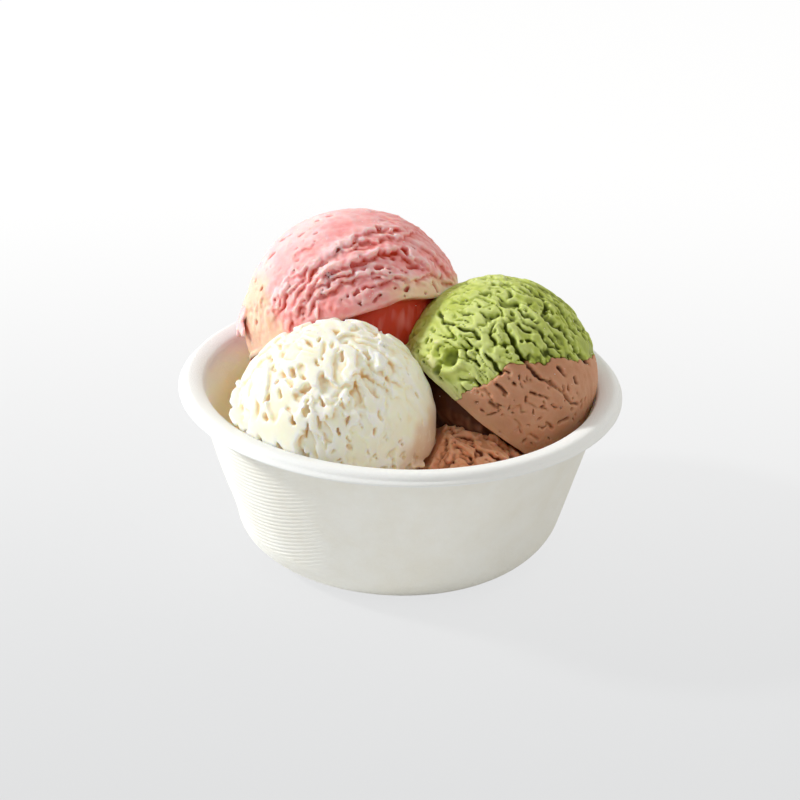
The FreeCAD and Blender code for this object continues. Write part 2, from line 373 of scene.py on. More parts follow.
@dataclass
class Block:
    """Frozen cream as signed distances on a regular grid.

    Attributes:
        reach: Half size of the block, millimetres.
        pitch: Grid spacing, millimetres.
        field_: Distance to the skin per cell, negative inside.
        line: Cell positions along each axis, from the scoop's centre.
        shifts: Ragged shifts of the holes per cell, one block for each axis.
    """

    reach: float
    pitch: float
    field_: np.ndarray = field(init=False)
    line: np.ndarray = field(init=False)
    shifts: list[np.ndarray] = field(init=False)

    def __post_init__(self) -> None:
        """Lay out the grid lines."""
        half = int(math.ceil(self.reach / self.pitch))
        self.line = (np.arange(-half, half + 1) * self.pitch).astype(np.float32)

    def points(self, mask: np.ndarray | None = None) -> np.ndarray:
        """Grid points in eater axes.

        Args:
            mask: Numbers of the wanted cells, or none for all of them.

        Returns:
            One row per point.
        """
        n = len(self.line)
        if mask is None:
            grid = np.meshgrid(self.line, self.line, self.line, indexing="ij")
            return np.stack([g.ravel() for g in grid], axis=1)
        return np.stack([self.line[k] for k in np.unravel_index(mask, (n, n, n))], axis=1)

    def spread(self, distance: Callable[[np.ndarray], np.ndarray]) -> np.ndarray:
        """Work a distance out over the whole grid, a chunk at a time.

        Args:
            distance: Gives one value per point.

        Returns:
            One flat row of values.
        """
        spots = self.points()
        total = np.empty(len(spots), np.float32)
        for start in range(0, len(spots), CHUNK):
            total[start:start + CHUNK] = distance(spots[start:start + CHUNK])
        return total

    def along(self, way: np.ndarray) -> np.ndarray:
        """Distance of every cell from the centre along a direction."""
        return (self.line[:, None, None] * way[0] + self.line[None, :, None] * way[1]
                + self.line[None, None, :] * way[2])

    def cut(self, distance: np.ndarray) -> None:
        """Take away what lies outside another distance block."""
        self.field_ = np.maximum(self.field_, distance.astype(np.float32))

    def wander(self, band: np.ndarray, p: np.ndarray) -> None:
        """Prepare the ragged shifts that holes follow, near the surface only.

        Args:
            band: Numbers of the cells near the skin.
            p: Their points.
        """
        n = len(self.line)
        self.shifts = []
        for k in range(3):
            shift = np.zeros(n * n * n, np.float32)
            shift[band] = 0.42 * NOISE.at(p, 1.9, 95.0 + k) + 0.16 * NOISE.at(p, 0.95, 98.0 + k)
            self.shifts.append(shift.reshape(n, n, n))

    def press(self, hole: Hole, soft: float = 0.3) -> None:
        """Press one hole into the block.

        Args:
            hole: The hole.
            soft: Roundness of its edge, millimetres.
        """
        span = max(hole.radii) + 1.2
        n = len(self.line)
        spans = []
        for k in range(3):
            low = int((hole.centre[k] - span - self.line[0]) / self.pitch)
            high = int((hole.centre[k] + span - self.line[0]) / self.pitch) + 2
            low, high = max(0, low), min(n, high)
            if low >= high:
                return
            spans.append((low, high))
        (a, b), (c, d), (e, f) = spans
        here = np.s_[a:b, c:d, e:f]
        gx = self.line[a:b][:, None, None] - hole.centre[0] + self.shifts[0][here]
        gy = self.line[c:d][None, :, None] - hole.centre[1] + self.shifts[1][here]
        gz = self.line[e:f][None, None, :] - hole.centre[2] + self.shifts[2][here]
        total = np.zeros((b - a, d - c, f - e), np.float32)
        for row, radius in zip(hole.axes, hole.radii):
            total += ((gx * row[0] + gy * row[1] + gz * row[2]) / radius) ** 2
        inside = (np.sqrt(total) - 1.0) * min(hole.radii)
        self.field_[here] = carve_out(self.field_[here], -inside, soft)

    def hollows(self, local: np.ndarray) -> np.ndarray:
        """How deep each skin point sits among its surroundings, millimetres.

        Args:
            local: Skin points in eater axes.

        Returns:
            Positive in cracks and pits, negative on crests.
        """
        spots = (local - float(self.line[0])) / self.pitch
        total = np.zeros(len(local))
        for reach, share in ((0.9, 0.9), (2.2, 0.55)):
            total -= share * sample(box_blur(self.field_, max(1, round(reach / self.pitch))), spots)
        return total

    def mesh(self, name: str, centre: np.ndarray,
             cut: np.ndarray | None = None) -> tuple[bpy.types.Mesh, np.ndarray]:
        """Skin the block.

        Args:
            name: Name of the new mesh.
            centre: The scoop's centre in the frame, millimetres.
            cut: Another distance block that bounds this piece.

        Returns:
            The mesh, in metres in the frame, and its points in eater axes, millimetres.
        """
        shape = self.field_ if cut is None else np.maximum(self.field_, cut)
        grid = openvdb.FloatGrid(EDGE)
        grid.copyFromArray(np.clip(shape, -EDGE, EDGE).astype(np.float32))
        spots, _, quads = grid.convertToPolygons(isovalue=0.0, adaptivity=0.0)
        local = spots.astype(np.float64) * self.pitch + float(self.line[0])
        keep = big_shells(len(local), quads)
        order = np.cumsum(keep) - 1
        faces = order[quads[keep[quads[:, 0]]]]
        local = local[keep]
        return quad_mesh(name, (local @ EATER + centre) * MM, faces), local


def big_shells(count: int, quads: np.ndarray, least: int = 400) -> np.ndarray:
    """Mark the points that belong to large shells, not to floating crumbs.

    Args:
        count: Number of points.
        quads: Four point numbers per face.
        least: Shells with fewer points than this are crumbs.

    Returns:
        True for every point worth keeping.
    """
    label = np.arange(count)
    while True:
        low = label[quads].min(1)
        new = label.copy()
        for k in range(4):
            np.minimum.at(new, quads[:, k], low)
        for _ in range(4):
            new = new[new]
        if np.array_equal(new, label):
            break
        label = new
    return np.bincount(label, minlength=count)[label] >= least


def quad_mesh(name: str, spots: np.ndarray, quads: np.ndarray) -> bpy.types.Mesh:
    """Build a smooth mesh from arrays.

    Args:
        name: Name of the mesh.
        spots: Points in metres.
        quads: Four point numbers per face.

    Returns:
        The mesh.
    """
    mesh = bpy.data.meshes.new(name)
    mesh.vertices.add(len(spots))
    mesh.vertices.foreach_set("co", spots.astype(np.float32).ravel())
    mesh.loops.add(quads.size)
    mesh.loops.foreach_set("vertex_index", quads.astype(np.int32).ravel())
    mesh.polygons.add(len(quads))
    mesh.polygons.foreach_set("loop_start", np.arange(len(quads), dtype=np.int32) * 4)
    mesh.update(calc_edges=True)
    mesh.polygons.foreach_set("use_smooth", np.ones(len(quads), bool))
    return mesh


def store(mesh: bpy.types.Mesh, name: str, values: np.ndarray) -> None:
    """Keep one number per point on a mesh, for its material."""
    layer = mesh.attributes.new(name, "FLOAT", "POINT")
    layer.data.foreach_set("value", values.astype(np.float32))


def show(mesh: bpy.types.Mesh, name: str) -> bpy.types.Object:
    """Put a finished mesh in the scene as an object at the origin.

    Args:
        mesh: Finished mesh.
        name: Name of the object.

    Returns:
        The object.
    """
    piece = bpy.data.objects.new(name, mesh)
    bpy.context.scene.collection.objects.link(piece)
    return piece


def hand_over(piece: bpy.types.Object, material: bpy.types.Material,
              nodes: tuple[str, ...] = ()) -> None:
    """Give a piece its material, hang it under the body, and hide the CAD nodes that it stands for.

    Args:
        piece: Finished piece.
        material: Its material.
        nodes: CAD nodes that it stands for.
    """
    piece.data.materials.clear()
    piece.data.materials.append(material)
    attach(piece, BODY)
    if nodes:
        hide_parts(*nodes)
    piece.data.calc_loop_triangles()
    LOG.info("%s: %d triangles", piece.name, len(piece.data.loop_triangles))


def bake_nodes(holder: bpy.types.Object, modifier: bpy.types.NodesModifier, values: dict,
               name: str) -> bpy.types.Object:
    """Run a Geometry Nodes modifier and keep its result as a plain mesh.

    Args:
        holder: Object that carries the modifier.
        modifier: The modifier.
        values: Input names to values.
        name: Name of the finished piece.

    Returns:
        The finished piece; the holder is removed.
    """
    keys = {item.name: item.identifier for item in modifier.node_group.interface.items_tree
            if item.item_type == "SOCKET" and item.in_out == "INPUT"}
    for key, value in values.items():
        modifier[keys[key]] = value
    graph = bpy.context.evaluated_depsgraph_get()
    mesh = bpy.data.meshes.new_from_object(holder.evaluated_get(graph))
    mesh.name = name
    holder.modifiers.remove(modifier)
    bpy.data.objects.remove(holder)
    return show(mesh, name)


def face_out(mesh: bpy.types.Mesh) -> None:
    """Turn a closed mesh so that its faces point outwards.

    Args:
        mesh: Closed mesh.
    """
    work = bmesh.new()
    work.from_mesh(mesh)
    bmesh.ops.recalc_face_normals(work, faces=work.faces)
    if work.calc_volume(signed=True) < 0.0:
        bmesh.ops.reverse_faces(work, faces=work.faces)
    work.to_mesh(mesh)
    work.free()


# ---- finishes ----------------------------------------------------------------
@dataclass(frozen=True)
class CreamFinish:
    """Finish of one flavour of dairy ice cream, scooped hard from the tub.

    Milk fat and air bubbles scatter light a few millimetres deep, so edges
    glow and hollows turn warm.  Hollows, cracks and undersides also get a painted
    shade colour, and crests a paler colour that is partly painted highlight.
    The torn skin is matt with fine ice grain.

    Attributes:
        name: Material name.
        body: Colour of the open surface.
        frost: Colour of frosty patches, and of crests, where it is partly ice frost and partly painted
            highlight.
        deep: Painted shade colour inside hollows and cracks and under the lip.
        swirl_and_painted_light: Colour of a second cream folded in; on the pair scoop, the colour of a
            painted light band along the lip.
        scatter: Red, green and blue scatter lengths in millimetres.
        grain: Ice grain size in millimetres.
        grain_height: Height of the grain in millimetres.
        rough: Roughness of the skin.
        full_depth: Depth of the cavity_shade number, in millimetres, that shows the painted shade colour
            pure.
    """

    name: str
    body: str
    frost: str
    deep: str
    swirl_and_painted_light: str
    scatter: tuple[float, float, float]
    grain: float = 0.55
    grain_height: float = 0.05
    rough: float = 0.58
    full_depth: float = 0.85

    def material(self) -> bpy.types.Material:
        """Build the material.

        Returns:
            A node material that reads the mesh's cavity_shade number (hollow depth plus painted light and
            shade) and its swirl_and_painted_light number.
        """
        made, tree, spot = start_material(self.name)
        cavity_shade, swirl_and_painted_light = (add_node(tree, "ShaderNodeAttribute", attribute_name=name).outputs["Fac"]
                         for name in ("cavity_shade", "swirl_and_painted_light"))
        cloud = add_node(tree, CLOUDS, {
            "Vector": spot, "Scale": 1.0 / (9.0 * MM), "Detail": 3.0, "Roughness": 0.6})
        fleck = add_node(tree, CLOUDS, {"Vector": spot, "Scale": 1.0 / (1.6 * MM), "Detail": 2.0})
        # painted shade: the deep colour fills hollows, cracks and the shaded underside
        deep = add_node(tree, RANGE, {"Value": cavity_shade, "From Max": self.full_depth})
        # paler frost colour on crests: partly ice frost, partly painted highlight
        high = add_node(tree, RANGE, {"Value": cavity_shade, "From Min": -0.02, "From Max": -0.45})
        patch = add_node(tree, RANGE, {"Value": cloud, "From Min": 0.42, "From Max": 0.62})
        specks = add_node(tree, RANGE, {"Value": fleck, "From Min": 0.55, "From Max": 0.8, "To Max": 0.35})
        frost = add_node(tree, MATH, {0: patch, 1: 0.55, 2: high}, operation="MULTIPLY_ADD")
        frost = add_node(tree, MATH, {0: frost, 1: 0.7}, operation="MULTIPLY", use_clamp=True)
        colour = srgb(self.body)
        for share, tint in ((frost, self.frost), (swirl_and_painted_light, self.swirl_and_painted_light), (specks, self.frost),
                            (deep, self.deep)):
            colour = add_node(tree, MIX, {0: share, 6: colour, 7: srgb(tint)}, data_type="RGBA")
        grain = add_node(tree, CLOUDS, {
            "Vector": spot, "Scale": 1.0 / (self.grain * MM), "Detail": 4.0, "Roughness": 0.65})
        bump = add_node(tree, "ShaderNodeBump", {
            "Height": grain, "Strength": 1.0, "Distance": self.grain_height * MM})
        skin = add_node(tree, SKIN, {
            "Base Color": colour, "Normal": bump, "Roughness": self.rough, "IOR": 1.36,
            "Specular IOR Level": 0.5, "Subsurface Weight": 1.0, "Subsurface Radius": self.scatter,
            "Subsurface Scale": MM})
        add_node(tree, OUTPUT, {"Surface": skin})
        return made


@dataclass(frozen=True)
class FibreFinish:
    """Moulded sugarcane pulp, pressed wet on a wire form and dried hot.

    The press leaves a dense matt skin, off-white with faint warm clouds, a
    fine felt of fibres and no gloss beyond a soft sheen.

    Attributes:
        name: Material name.
        body: Colour of the dry pulp.
        cloud: Colour of the denser patches.
        rim: Colour of the hard pressed rim.
        inner_bounce_tint: Painted warm bounce light on the inside of the wall.
        inner_bounce_tint_low: The same painted bounce light, warmer lower down.
        felt: Size of the fibre felt in millimetres.
        felt_height: Height of the felt in millimetres.
    """

    name: str = "moulded_pulp"
    body: str = "#f8f8f2"
    cloud: str = "#f3f1e7"
    rim: str = "#f5f7f6"
    inner_bounce_tint: str = "#fffaf4"
    inner_bounce_tint_low: str = "#fff0da"
    felt: float = 0.6
    felt_height: float = 0.2

    def material(self) -> bpy.types.Material:
        """Build the material.

        Returns:
            A node material; on the inside of the wall it scatters light through the wall and carries a
            painted warm bounce light.
        """
        made, tree, spot = start_material(self.name)
        split = add_node(tree, SPLIT, {0: spot})
        height = split.outputs[2]
        cloud = add_node(tree, CLOUDS, {
            "Vector": spot, "Scale": 1.0 / (14.0 * MM), "Detail": 5.0, "Roughness": 0.6})
        patches = add_node(tree, RANGE, {"Value": cloud, "From Min": 0.35, "From Max": 0.7})
        pressed = add_node(tree, RANGE, {"Value": height, "From Min": 45.0 * MM, "From Max": 49.5 * MM})
        lower = add_node(tree, RANGE, {"Value": height, "From Min": 50.0 * MM, "From Max": 38.0 * MM})
        # painted light: warm bounce on the inside of the wall, warmer lower down
        bounce_tint = add_node(tree, MIX, {0: lower, 6: srgb(self.inner_bounce_tint), 7: srgb(self.inner_bounce_tint_low)}, data_type="RGBA")
        inner_wall_zone = self._inner_wall_zone(tree, split)
        colour = srgb(self.body)
        for share, tint in ((patches, srgb(self.cloud)), (pressed, srgb(self.rim)), (inner_wall_zone, bounce_tint)):
            colour = add_node(tree, MIX, {0: share, 6: colour, 7: tint}, data_type="RGBA")
        felt = add_node(tree, CLOUDS, {
            "Vector": spot, "Scale": 1.0 / (self.felt * MM), "Detail": 5.0, "Roughness": 0.7})
        bump = add_node(tree, "ShaderNodeBump", {
            "Height": felt, "Strength": 1.0, "Distance": self.felt_height * MM})
        glow = add_node(tree, RANGE, {"Value": inner_wall_zone, "To Min": 0.04, "To Max": 1.0})
        skin = add_node(tree, SKIN, {
            "Base Color": colour, "Normal": bump, "Roughness": 0.62, "IOR": 1.47, "Specular IOR Level": 0.4,
            "Subsurface Weight": glow, "Subsurface Radius": (6.5, 4.6, 3.2), "Subsurface Scale": MM})
        add_node(tree, OUTPUT, {"Surface": skin})
        return made

    def _inner_wall_zone(self, tree: bpy.types.NodeTree, split: bpy.types.Node) -> bpy.types.Node:
        """Share of the inside of the wall that gets the painted bounce light and stronger scatter.

        Args:
            tree: Material tree.
            split: Object position, split in three.

        Returns:
            Node that gives the share.
        """
        height = split.outputs[2]
        slope = math.tan(BOWL_LEAN)
        flat = add_node(tree, JOIN, {0: split.outputs[0], 1: split.outputs[1]})
        out = add_node(tree, "ShaderNodeVectorMath", {0: flat}, operation="LENGTH")
        middle = add_node(tree, MATH, {0: height, 1: slope, 2: (BOWL_MIDDLE - LIP_FOOT * slope) * MM},
                          operation="MULTIPLY_ADD")
        past = add_node(tree, MATH, {0: out, 1: middle}, operation="SUBTRACT")
        inside = add_node(tree, RANGE, {"Value": past, "From Min": 0.3 * MM, "From Max": -0.3 * MM})
        below = add_node(tree, RANGE, {"Value": height, "From Min": 50.6 * MM, "From Max": 47.5 * MM})
        above = add_node(tree, MATH, {0: height, 1: 22.0 * MM}, operation="GREATER_THAN")
        both = add_node(tree, MATH, {0: inside, 1: below}, operation="MULTIPLY")
        return add_node(tree, MATH, {0: both, 1: above}, operation="MULTIPLY")


@dataclass(frozen=True)
class FrostFinish:
    """Ice crystals that grow on the cold skin: clear, wet-looking grains."""

    name: str = "ice_grains"
    body: str = "#f7f4f0"

    def material(self) -> bpy.types.Material:
        """Build the material.

        Returns:
            A half clear material, uneven in gloss.
        """
        made, tree, spot = start_material(self.name)
        grain = add_node(tree, CLOUDS, {"Vector": spot, "Scale": 1.0 / (0.4 * MM)})
        rough = add_node(tree, RANGE, {"Value": grain, "To Min": 0.2, "To Max": 0.5})
        skin = add_node(tree, SKIN, {
            "Base Color": srgb(self.body), "Roughness": rough, "IOR": 1.31, "Transmission Weight": 0.5})
        add_node(tree, OUTPUT, {"Surface": skin})
        return made


# each deep colour is painted shade for hollows, cracks and undersides; the pistachio and cocoa swirl colours
# paint light along the lip
STRAWBERRY = CreamFinish("strawberry_cream", "#ee9d9c", "#f3cfcf", "#d2472c", "#ead2b2", (2.0, 0.7, 0.45),
                         grain_height=0.09, full_depth=0.9)
VANILLA = CreamFinish("vanilla_cream", "#f9f2da", "#fcf9ee", "#eccb8c", "#dbb08c", (2.2, 1.9, 1.0))
PISTACHIO = CreamFinish("pistachio_cream", "#b4c255", "#d0da8e", "#55600f", "#dcdca6", (0.6, 0.6, 0.25),
                        grain_height=0.12)
COCOA = CreamFinish("cocoa_cream", "#bf8865", "#cf9f80", "#5c2d17", "#d0a482", (0.9, 0.4, 0.25), rough=0.6,
                    grain_height=0.12)
CHOCOLATE = CreamFinish("chocolate_cream", "#e29d74", "#e8b490", "#75391a", "#bd8f70", (0.9, 0.4, 0.25),
                        grain_height=0.1)


# ---- bowl --------------------------------------------------------------------
# sums of the bowl's tree: result, operation, terms; a term is a number or an earlier result
PLACES = (
    ("columns", "ADD", "Segments", 1.0),
    ("last", "SUBTRACT", "Rows", 1.0),
    ("row", "ADD", "grid x", 0.5),
    ("row", "MULTIPLY", "row", "last"),
    ("row", "ROUND", "row"),
    ("angle", "ADD", "grid y", 0.5),
    ("angle", "MULTIPLY", "angle", 2.0 * math.pi),
    ("cosine", "COSINE", "angle"),
    ("sine", "SINE", "angle"),
)
WALL = (
    # wire marks sweep up from the left and are pressed out before the front
    ("turned", "SUBTRACT", "angle", math.pi),
    ("past", "SUBTRACT", "turned", 0.4),
    ("past", "MAXIMUM", "past", 0.0),
    ("past", "MULTIPLY", "past", "past"),
    ("sweep", "MULTIPLY", "past", "Wire rise"),
    ("climb", "SUBTRACT", "z", "sweep"),
    ("climb", "MULTIPLY", "climb", 2.0 * math.pi),
    ("climb", "DIVIDE", "climb", "Wire pitch"),
    ("wave", "MULTIPLY", "angle", 7.0),
    ("wave", "SINE", "wave"),
    ("wave", "MULTIPLY", "wave", 0.3),
    ("ripple", "ADD", "climb", "wave"),
    ("ripple", "SINE", "ripple"),
    ("ripple", "MULTIPLY", "ripple", "Wire depth"),
    ("fade", "ABSOLUTE", "turned"),
    ("fade", "SUBTRACT", 1.32, "fade"),
    ("shown", "MULTIPLY", "fade", 2.2),
    ("side", "MULTIPLY", "shown", 0.93),
    ("side", "ADD", "side", 0.07),
    ("side", "MULTIPLY", "side", "mark"),
    ("press", "MULTIPLY", "ripple", "side"),
    # slow unevenness of the dried wall, none at the foot
    ("away", "SUBTRACT", "slow", 0.5),
    ("away", "MULTIPLY", "away", "Sway"),
    ("standing", "MULTIPLY", "z", 1.0 / (8.0 * MM)),
    ("away", "MULTIPLY", "away", "standing"),
    # soft dent low on the left wall
    ("left", "MULTIPLY", "cosine", -1.0),
    ("left", "MAXIMUM", "left", 0.0),
    ("near", "POWER", "left", 14.0),
    ("near", "MULTIPLY", "near", "Dent"),
    ("level", "SUBTRACT", "z", 15.0 * MM),
    ("level", "DIVIDE", "level", 8.0 * MM),
    ("level", "MULTIPLY", "level", "level"),
    ("level", "MULTIPLY", "level", -1.0),
    ("belly", "EXPONENT", "level"),
    ("near", "MULTIPLY", "near", "belly"),
    ("away", "SUBTRACT", "away", "near"),
    ("away", "ADD", "press", "away"),
    ("outer", "MULTIPLY", "r", 1.0 / (20.0 * MM)),
    ("away", "MULTIPLY", "away", "outer"),
    ("reach", "ADD", "r", "away"),
    ("x", "MULTIPLY", "reach", "cosine"),
    ("y", "MULTIPLY", "reach", "sine"),
)
CLAMPED = ("shown", "standing", "outer")      # results kept between 0 and 1


@dataclass
class FibreBowl:
    """Round moulded pulp bowl, spun from its section.  Sizes in millimetres."""

    height: float = 52.0
    rim_radius: float = 65.0
    crest_radius: float = 62.0
    lip_drop: float = 2.9
    lip_inset: float = 0.5
    base_radius: float = 34.0
    corner: float = 15.6
    lean: float = BOWL_LEAN
    wall: float = 1.5
    floor: float = 1.6
    shoulder_radius: float = 57.9
    shoulder_drop: float = 1.1
    inner_top_drop: float = 2.9
    inner_top_radius: float = 57.2
    segments: int = 420
    wire_pitch: float = 1.36        # spacing of the pressed wire marks
    wire_depth: float = 0.155
    wire_rise: float = 16.0         # how steeply the marks sweep up towards the front
    sway: float = 0.32              # slow unevenness of the dried wall
    dent: float = 1.8
    finish: FibreFinish = FibreFinish()

    def _arc(self, a: tuple[float, float], b: tuple[float, float], c: tuple[float, float],
             steps: int) -> list[tuple[float, float]]:
        """Points of the round edge through a, b and c, without its last point.

        Args:
            a: Start (radius, height), millimetres.
            b: Point on the way, millimetres.
            c: End, millimetres.
            steps: Number of points.

        Returns:
            The points.
        """
        ax, ay = a
        bx, by = b
        cx, cy = c
        d = 2.0 * (ax * (by - cy) + bx * (cy - ay) + cx * (ay - by))
        ux = ((ax * ax + ay * ay) * (by - cy) + (bx * bx + by * by) * (cy - ay)
              + (cx * cx + cy * cy) * (ay - by)) / d
        uy = ((ax * ax + ay * ay) * (cx - bx) + (bx * bx + by * by) * (ax - cx)
              + (cx * cx + cy * cy) * (bx - ax)) / d
        start = math.atan2(ay - uy, ax - ux)
        end = math.atan2(cy - uy, cx - ux)
        middle = math.atan2(by - uy, bx - ux)
        turn = (end - start) % (2.0 * math.pi)
        if (middle - start) % (2.0 * math.pi) > turn:
            turn -= 2.0 * math.pi
        radius = math.hypot(ax - ux, ay - uy)
        return [(ux + radius * math.cos(start + turn * k / steps),
                 uy + radius * math.sin(start + turn * k / steps)) for k in range(steps)]

    def _line(self, a: tuple[float, float], b: tuple[float, float], steps: int) -> list[tuple[float, float]]:
        """Points of a straight run, without its last point."""
        return [(a[0] + (b[0] - a[0]) * k / steps, a[1] + (b[1] - a[1]) * k / steps) for k in range(steps)]

    def _corner(self, radius: float, floor: float, bend: float) -> list[tuple[float, float]]:
        """Start, middle and end of the round corner between floor and wall.

        Args:
            radius: Radius where the corner starts.
            floor: Height of the floor.
            bend: Radius of the corner.

        Returns:
            Three points (radius, height).
        """
        turn = math.pi / 2.0 - self.lean
        spots = []
        for share in (0.0, 0.5, 1.0):
            angle = turn * share
            spots.append((radius + bend * math.sin(angle), floor + bend - bend * math.cos(angle)))
        return spots

    def beyond_inside(self, out: np.ndarray, z: np.ndarray) -> np.ndarray:
        """Distance past the inside of the bowl, negative where there is room.

        Args:
            out: Distance from the upright axis, millimetres.
            z: Height, millimetres.

        Returns:
            Signed distance, millimetres.
        """
        wall = self.inner_top_radius + (z - (self.height - self.inner_top_drop)) * math.tan(self.lean)
        beyond = np.where(z > self.height + 0.5, -3.0, (out - wall) * math.cos(self.lean))
        bend = self.corner - self.wall
        low = self.floor + bend
        corner_at = self.base_radius - 0.4
        round_ = np.sqrt(np.maximum(out - corner_at, 0.0) ** 2 + np.minimum(z - low, 0.0) ** 2) - bend
        return np.maximum(beyond, np.where(z < low, round_, -3.0)).astype(np.float32)

    def section(self) -> tuple[list[tuple[float, float]], list[float]]:
        """Half section from the middle of the underside round to the middle of the floor.

        Returns:
            Points (radius, height) in millimetres, and for each how much of the
            wire mark it takes.
        """
        start, middle, end = self._corner(self.base_radius, 0.0, self.corner)
        foot = self.height - self.lip_drop
        top = (end[0] + (foot - end[1]) * math.tan(self.lean), foot)
        edge = (self.rim_radius - self.lip_inset, foot)
        bead = (self.rim_radius, foot + 0.35)
        neck = (self.rim_radius - 0.45, foot + 0.95)
        cheek = (self.rim_radius - 1.05, foot + 1.35)
        brow = (self.rim_radius - 1.72, self.height - 0.52)
        crest = (self.crest_radius, self.height)
        shoulder = (self.shoulder_radius, self.height - self.shoulder_drop)
        over = ((self.shoulder_radius + self.crest_radius) / 2.0, self.height - self.shoulder_drop * 0.28)
        inner_top = (self.inner_top_radius, self.height - self.inner_top_drop)
        roll = ((self.inner_top_radius + self.shoulder_radius) / 2.0 - 0.12,
                self.height - (self.shoulder_drop + self.inner_top_drop) / 2.0 + 0.15)
        i_start, i_middle, i_end = self._corner(self.base_radius - 0.4, self.floor, self.corner - self.wall)
        runs = [
            (self._line((0.0, 0.0), start, 5), 0.0),
            (self._arc(start, middle, end, 36), 0.7),
            (self._line(end, top, 112), 1.0),
            (self._line(top, edge, 5), 0.0),
            (self._arc(edge, (self.rim_radius - 0.12, foot + 0.1), bead, 4), 0.0),
            (self._arc(bead, (self.rim_radius - 0.15, foot + 0.65), neck, 4), 0.0),
            (self._line(neck, cheek, 2), 0.0),
            (self._arc(cheek, brow, crest, 10), 0.0),
            (self._arc(crest, over, shoulder, 10), 0.0),
            (self._arc(shoulder, roll, inner_top, 5), 0.0),
            (self._line(inner_top, i_end, 12), 0.0),
            (self._arc(i_end, i_middle, i_start, 8), 0.0),
            (self._line(i_start, (0.0, self.floor), 4), 0.0),
        ]
        points: list[tuple[float, float]] = []
        marks: list[float] = []
        for run, mark in runs:
            points += run
            marks += [mark] * len(run)
        points.append((0.0, self.floor))
        marks.append(0.0)
        return points, marks

    def _tree(self) -> bpy.types.NodeTree:
        """Geometry Nodes tree that spins the section and presses the wire marks.

        Returns:
            The tree.
        """
        tree, given = start_tree("spin_pulp_bowl", {
            "Rows": "Int", "Segments": "Int", "Wire pitch": "Float", "Wire depth": "Float",
            "Wire rise": "Float", "Sway": "Float", "Dent": "Float", "Pulp": "Material"})
        known = {name: given[name] for name in (
            "Rows", "Segments", "Wire pitch", "Wire depth", "Wire rise", "Sway", "Dent")}
        place = add_node(tree, "GeometryNodeInputPosition")
        split = add_node(tree, SPLIT, {0: place})
        known["grid x"], known["grid y"], _ = split.outputs
        for name, operation, *terms in PLACES:
            known[name] = add_node(tree, MATH, {k: known.get(term, term) for k, term in enumerate(terms)},
                                   operation=operation)
        grid = add_node(tree, "GeometryNodeMeshGrid", {
            "Size X": 1.0, "Size Y": 1.0, "Vertices X": known["Rows"], "Vertices Y": known["columns"]})
        named = add_node(tree, "GeometryNodeInputNamedAttribute", {"Name": "wire_mark"}, data_type="FLOAT")
        spot, known["mark"] = (
            add_node(tree, "GeometryNodeSampleIndex", {"Geometry": given["Geometry"], "Value": value,
                                                       "Index": known["row"]}, data_type=kind)
            for kind, value in (("FLOAT_VECTOR", place), ("FLOAT", named)))
        at = add_node(tree, SPLIT, {0: spot})
        known["r"], _, known["z"] = at.outputs
        around = add_node(tree, JOIN, {0: known["cosine"], 1: known["sine"]})
        climb = add_node(tree, MATH, {0: known["z"], 1: 30.0}, operation="MULTIPLY")
        lift = add_node(tree, JOIN, {2: climb})
        where = add_node(tree, "ShaderNodeVectorMath", {0: around, 1: (2.6, 2.6, 2.6), 2: lift},
                         operation="MULTIPLY_ADD")
        known["slow"] = add_node(tree, CLOUDS, {"Vector": where, "Scale": 1.0, "Detail": 1.0})
        for name, operation, *terms in WALL:
            known[name] = add_node(tree, MATH, {k: known.get(term, term) for k, term in enumerate(terms)},
                                   operation=operation, use_clamp=name in CLAMPED)
        turned = add_node(tree, JOIN, {0: known["x"], 1: known["y"], 2: known["z"]})
        moved = add_node(tree, "GeometryNodeSetPosition", {"Geometry": grid, "Position": turned})
        joined = add_node(tree, "GeometryNodeMergeByDistance", {"Geometry": moved, "Distance": 0.004 * MM})
        real = add_node(tree, "GeometryNodeRealizeInstances", {"Geometry": joined})
        soft = add_node(tree, "GeometryNodeSetShadeSmooth", {"Geometry": real})
        dressed = add_node(tree, "GeometryNodeSetMaterial", {"Geometry": soft, "Material": given["Pulp"]})
        add_node(tree, "NodeGroupOutput", {0: dressed})
        return tree

    def build(self) -> bpy.types.Object:
        """Spin the bowl and hand it over.

        Returns:
            The bowl.
        """
        points, marks = self.section()
        section = bpy.data.meshes.new("bowl_section")
        spots = [(r * MM, 0.0, z * MM) for r, z in points]
        section.from_pydata(spots, [(k, k + 1) for k in range(len(spots) - 1)], [])
        store(section, "wire_mark", np.array(marks))
        holder = show(section, "bowl_section")
        spin = holder.modifiers.new("spin", "NODES")
        spin.node_group = self._tree()
        pulp = self.finish.material()
        piece = bake_nodes(holder, spin, {
            "Rows": len(points), "Segments": self.segments, "Wire pitch": self.wire_pitch * MM,
            "Wire depth": self.wire_depth * MM, "Wire rise": self.wire_rise * MM, "Sway": self.sway * MM,
            "Dent": self.dent * MM, "Pulp": pulp}, "pulp_bowl")
        face_out(piece.data)
        hand_over(piece, pulp, ("bowl",))
        return piece


BOWL = FibreBowl()


# ---- scoops ------------------------------------------------------------------
@dataclass(frozen=True)
class Flat:
    """Flat where a scoop leans on another.

    Attributes:
        centre: Point that the distance is measured from, in the frame, millimetres.
        way: Direction of the far side.
        reach: Distance of the flat along the direction.
        keep_far: Whether the scoop is on the far side.
    """

    centre: Spot
    way: Spot
    reach: float
    keep_far: bool = False


@dataclass(frozen=True)
class Room:
    """Room that an overhanging scoop takes out of the one below it.

    Attributes:
        centre: Centre of the overhanging scoop, millimetres.
        axis: Direction of its pole.
        plane: Height of the room's flat roof edge along the pole, from that centre.
        middle: Height of the middle of the hollow along the pole.
        radius: Radius of the hollow.
    """

    centre: Spot
    axis: Spot
    plane: float
    middle: float
    radius: float


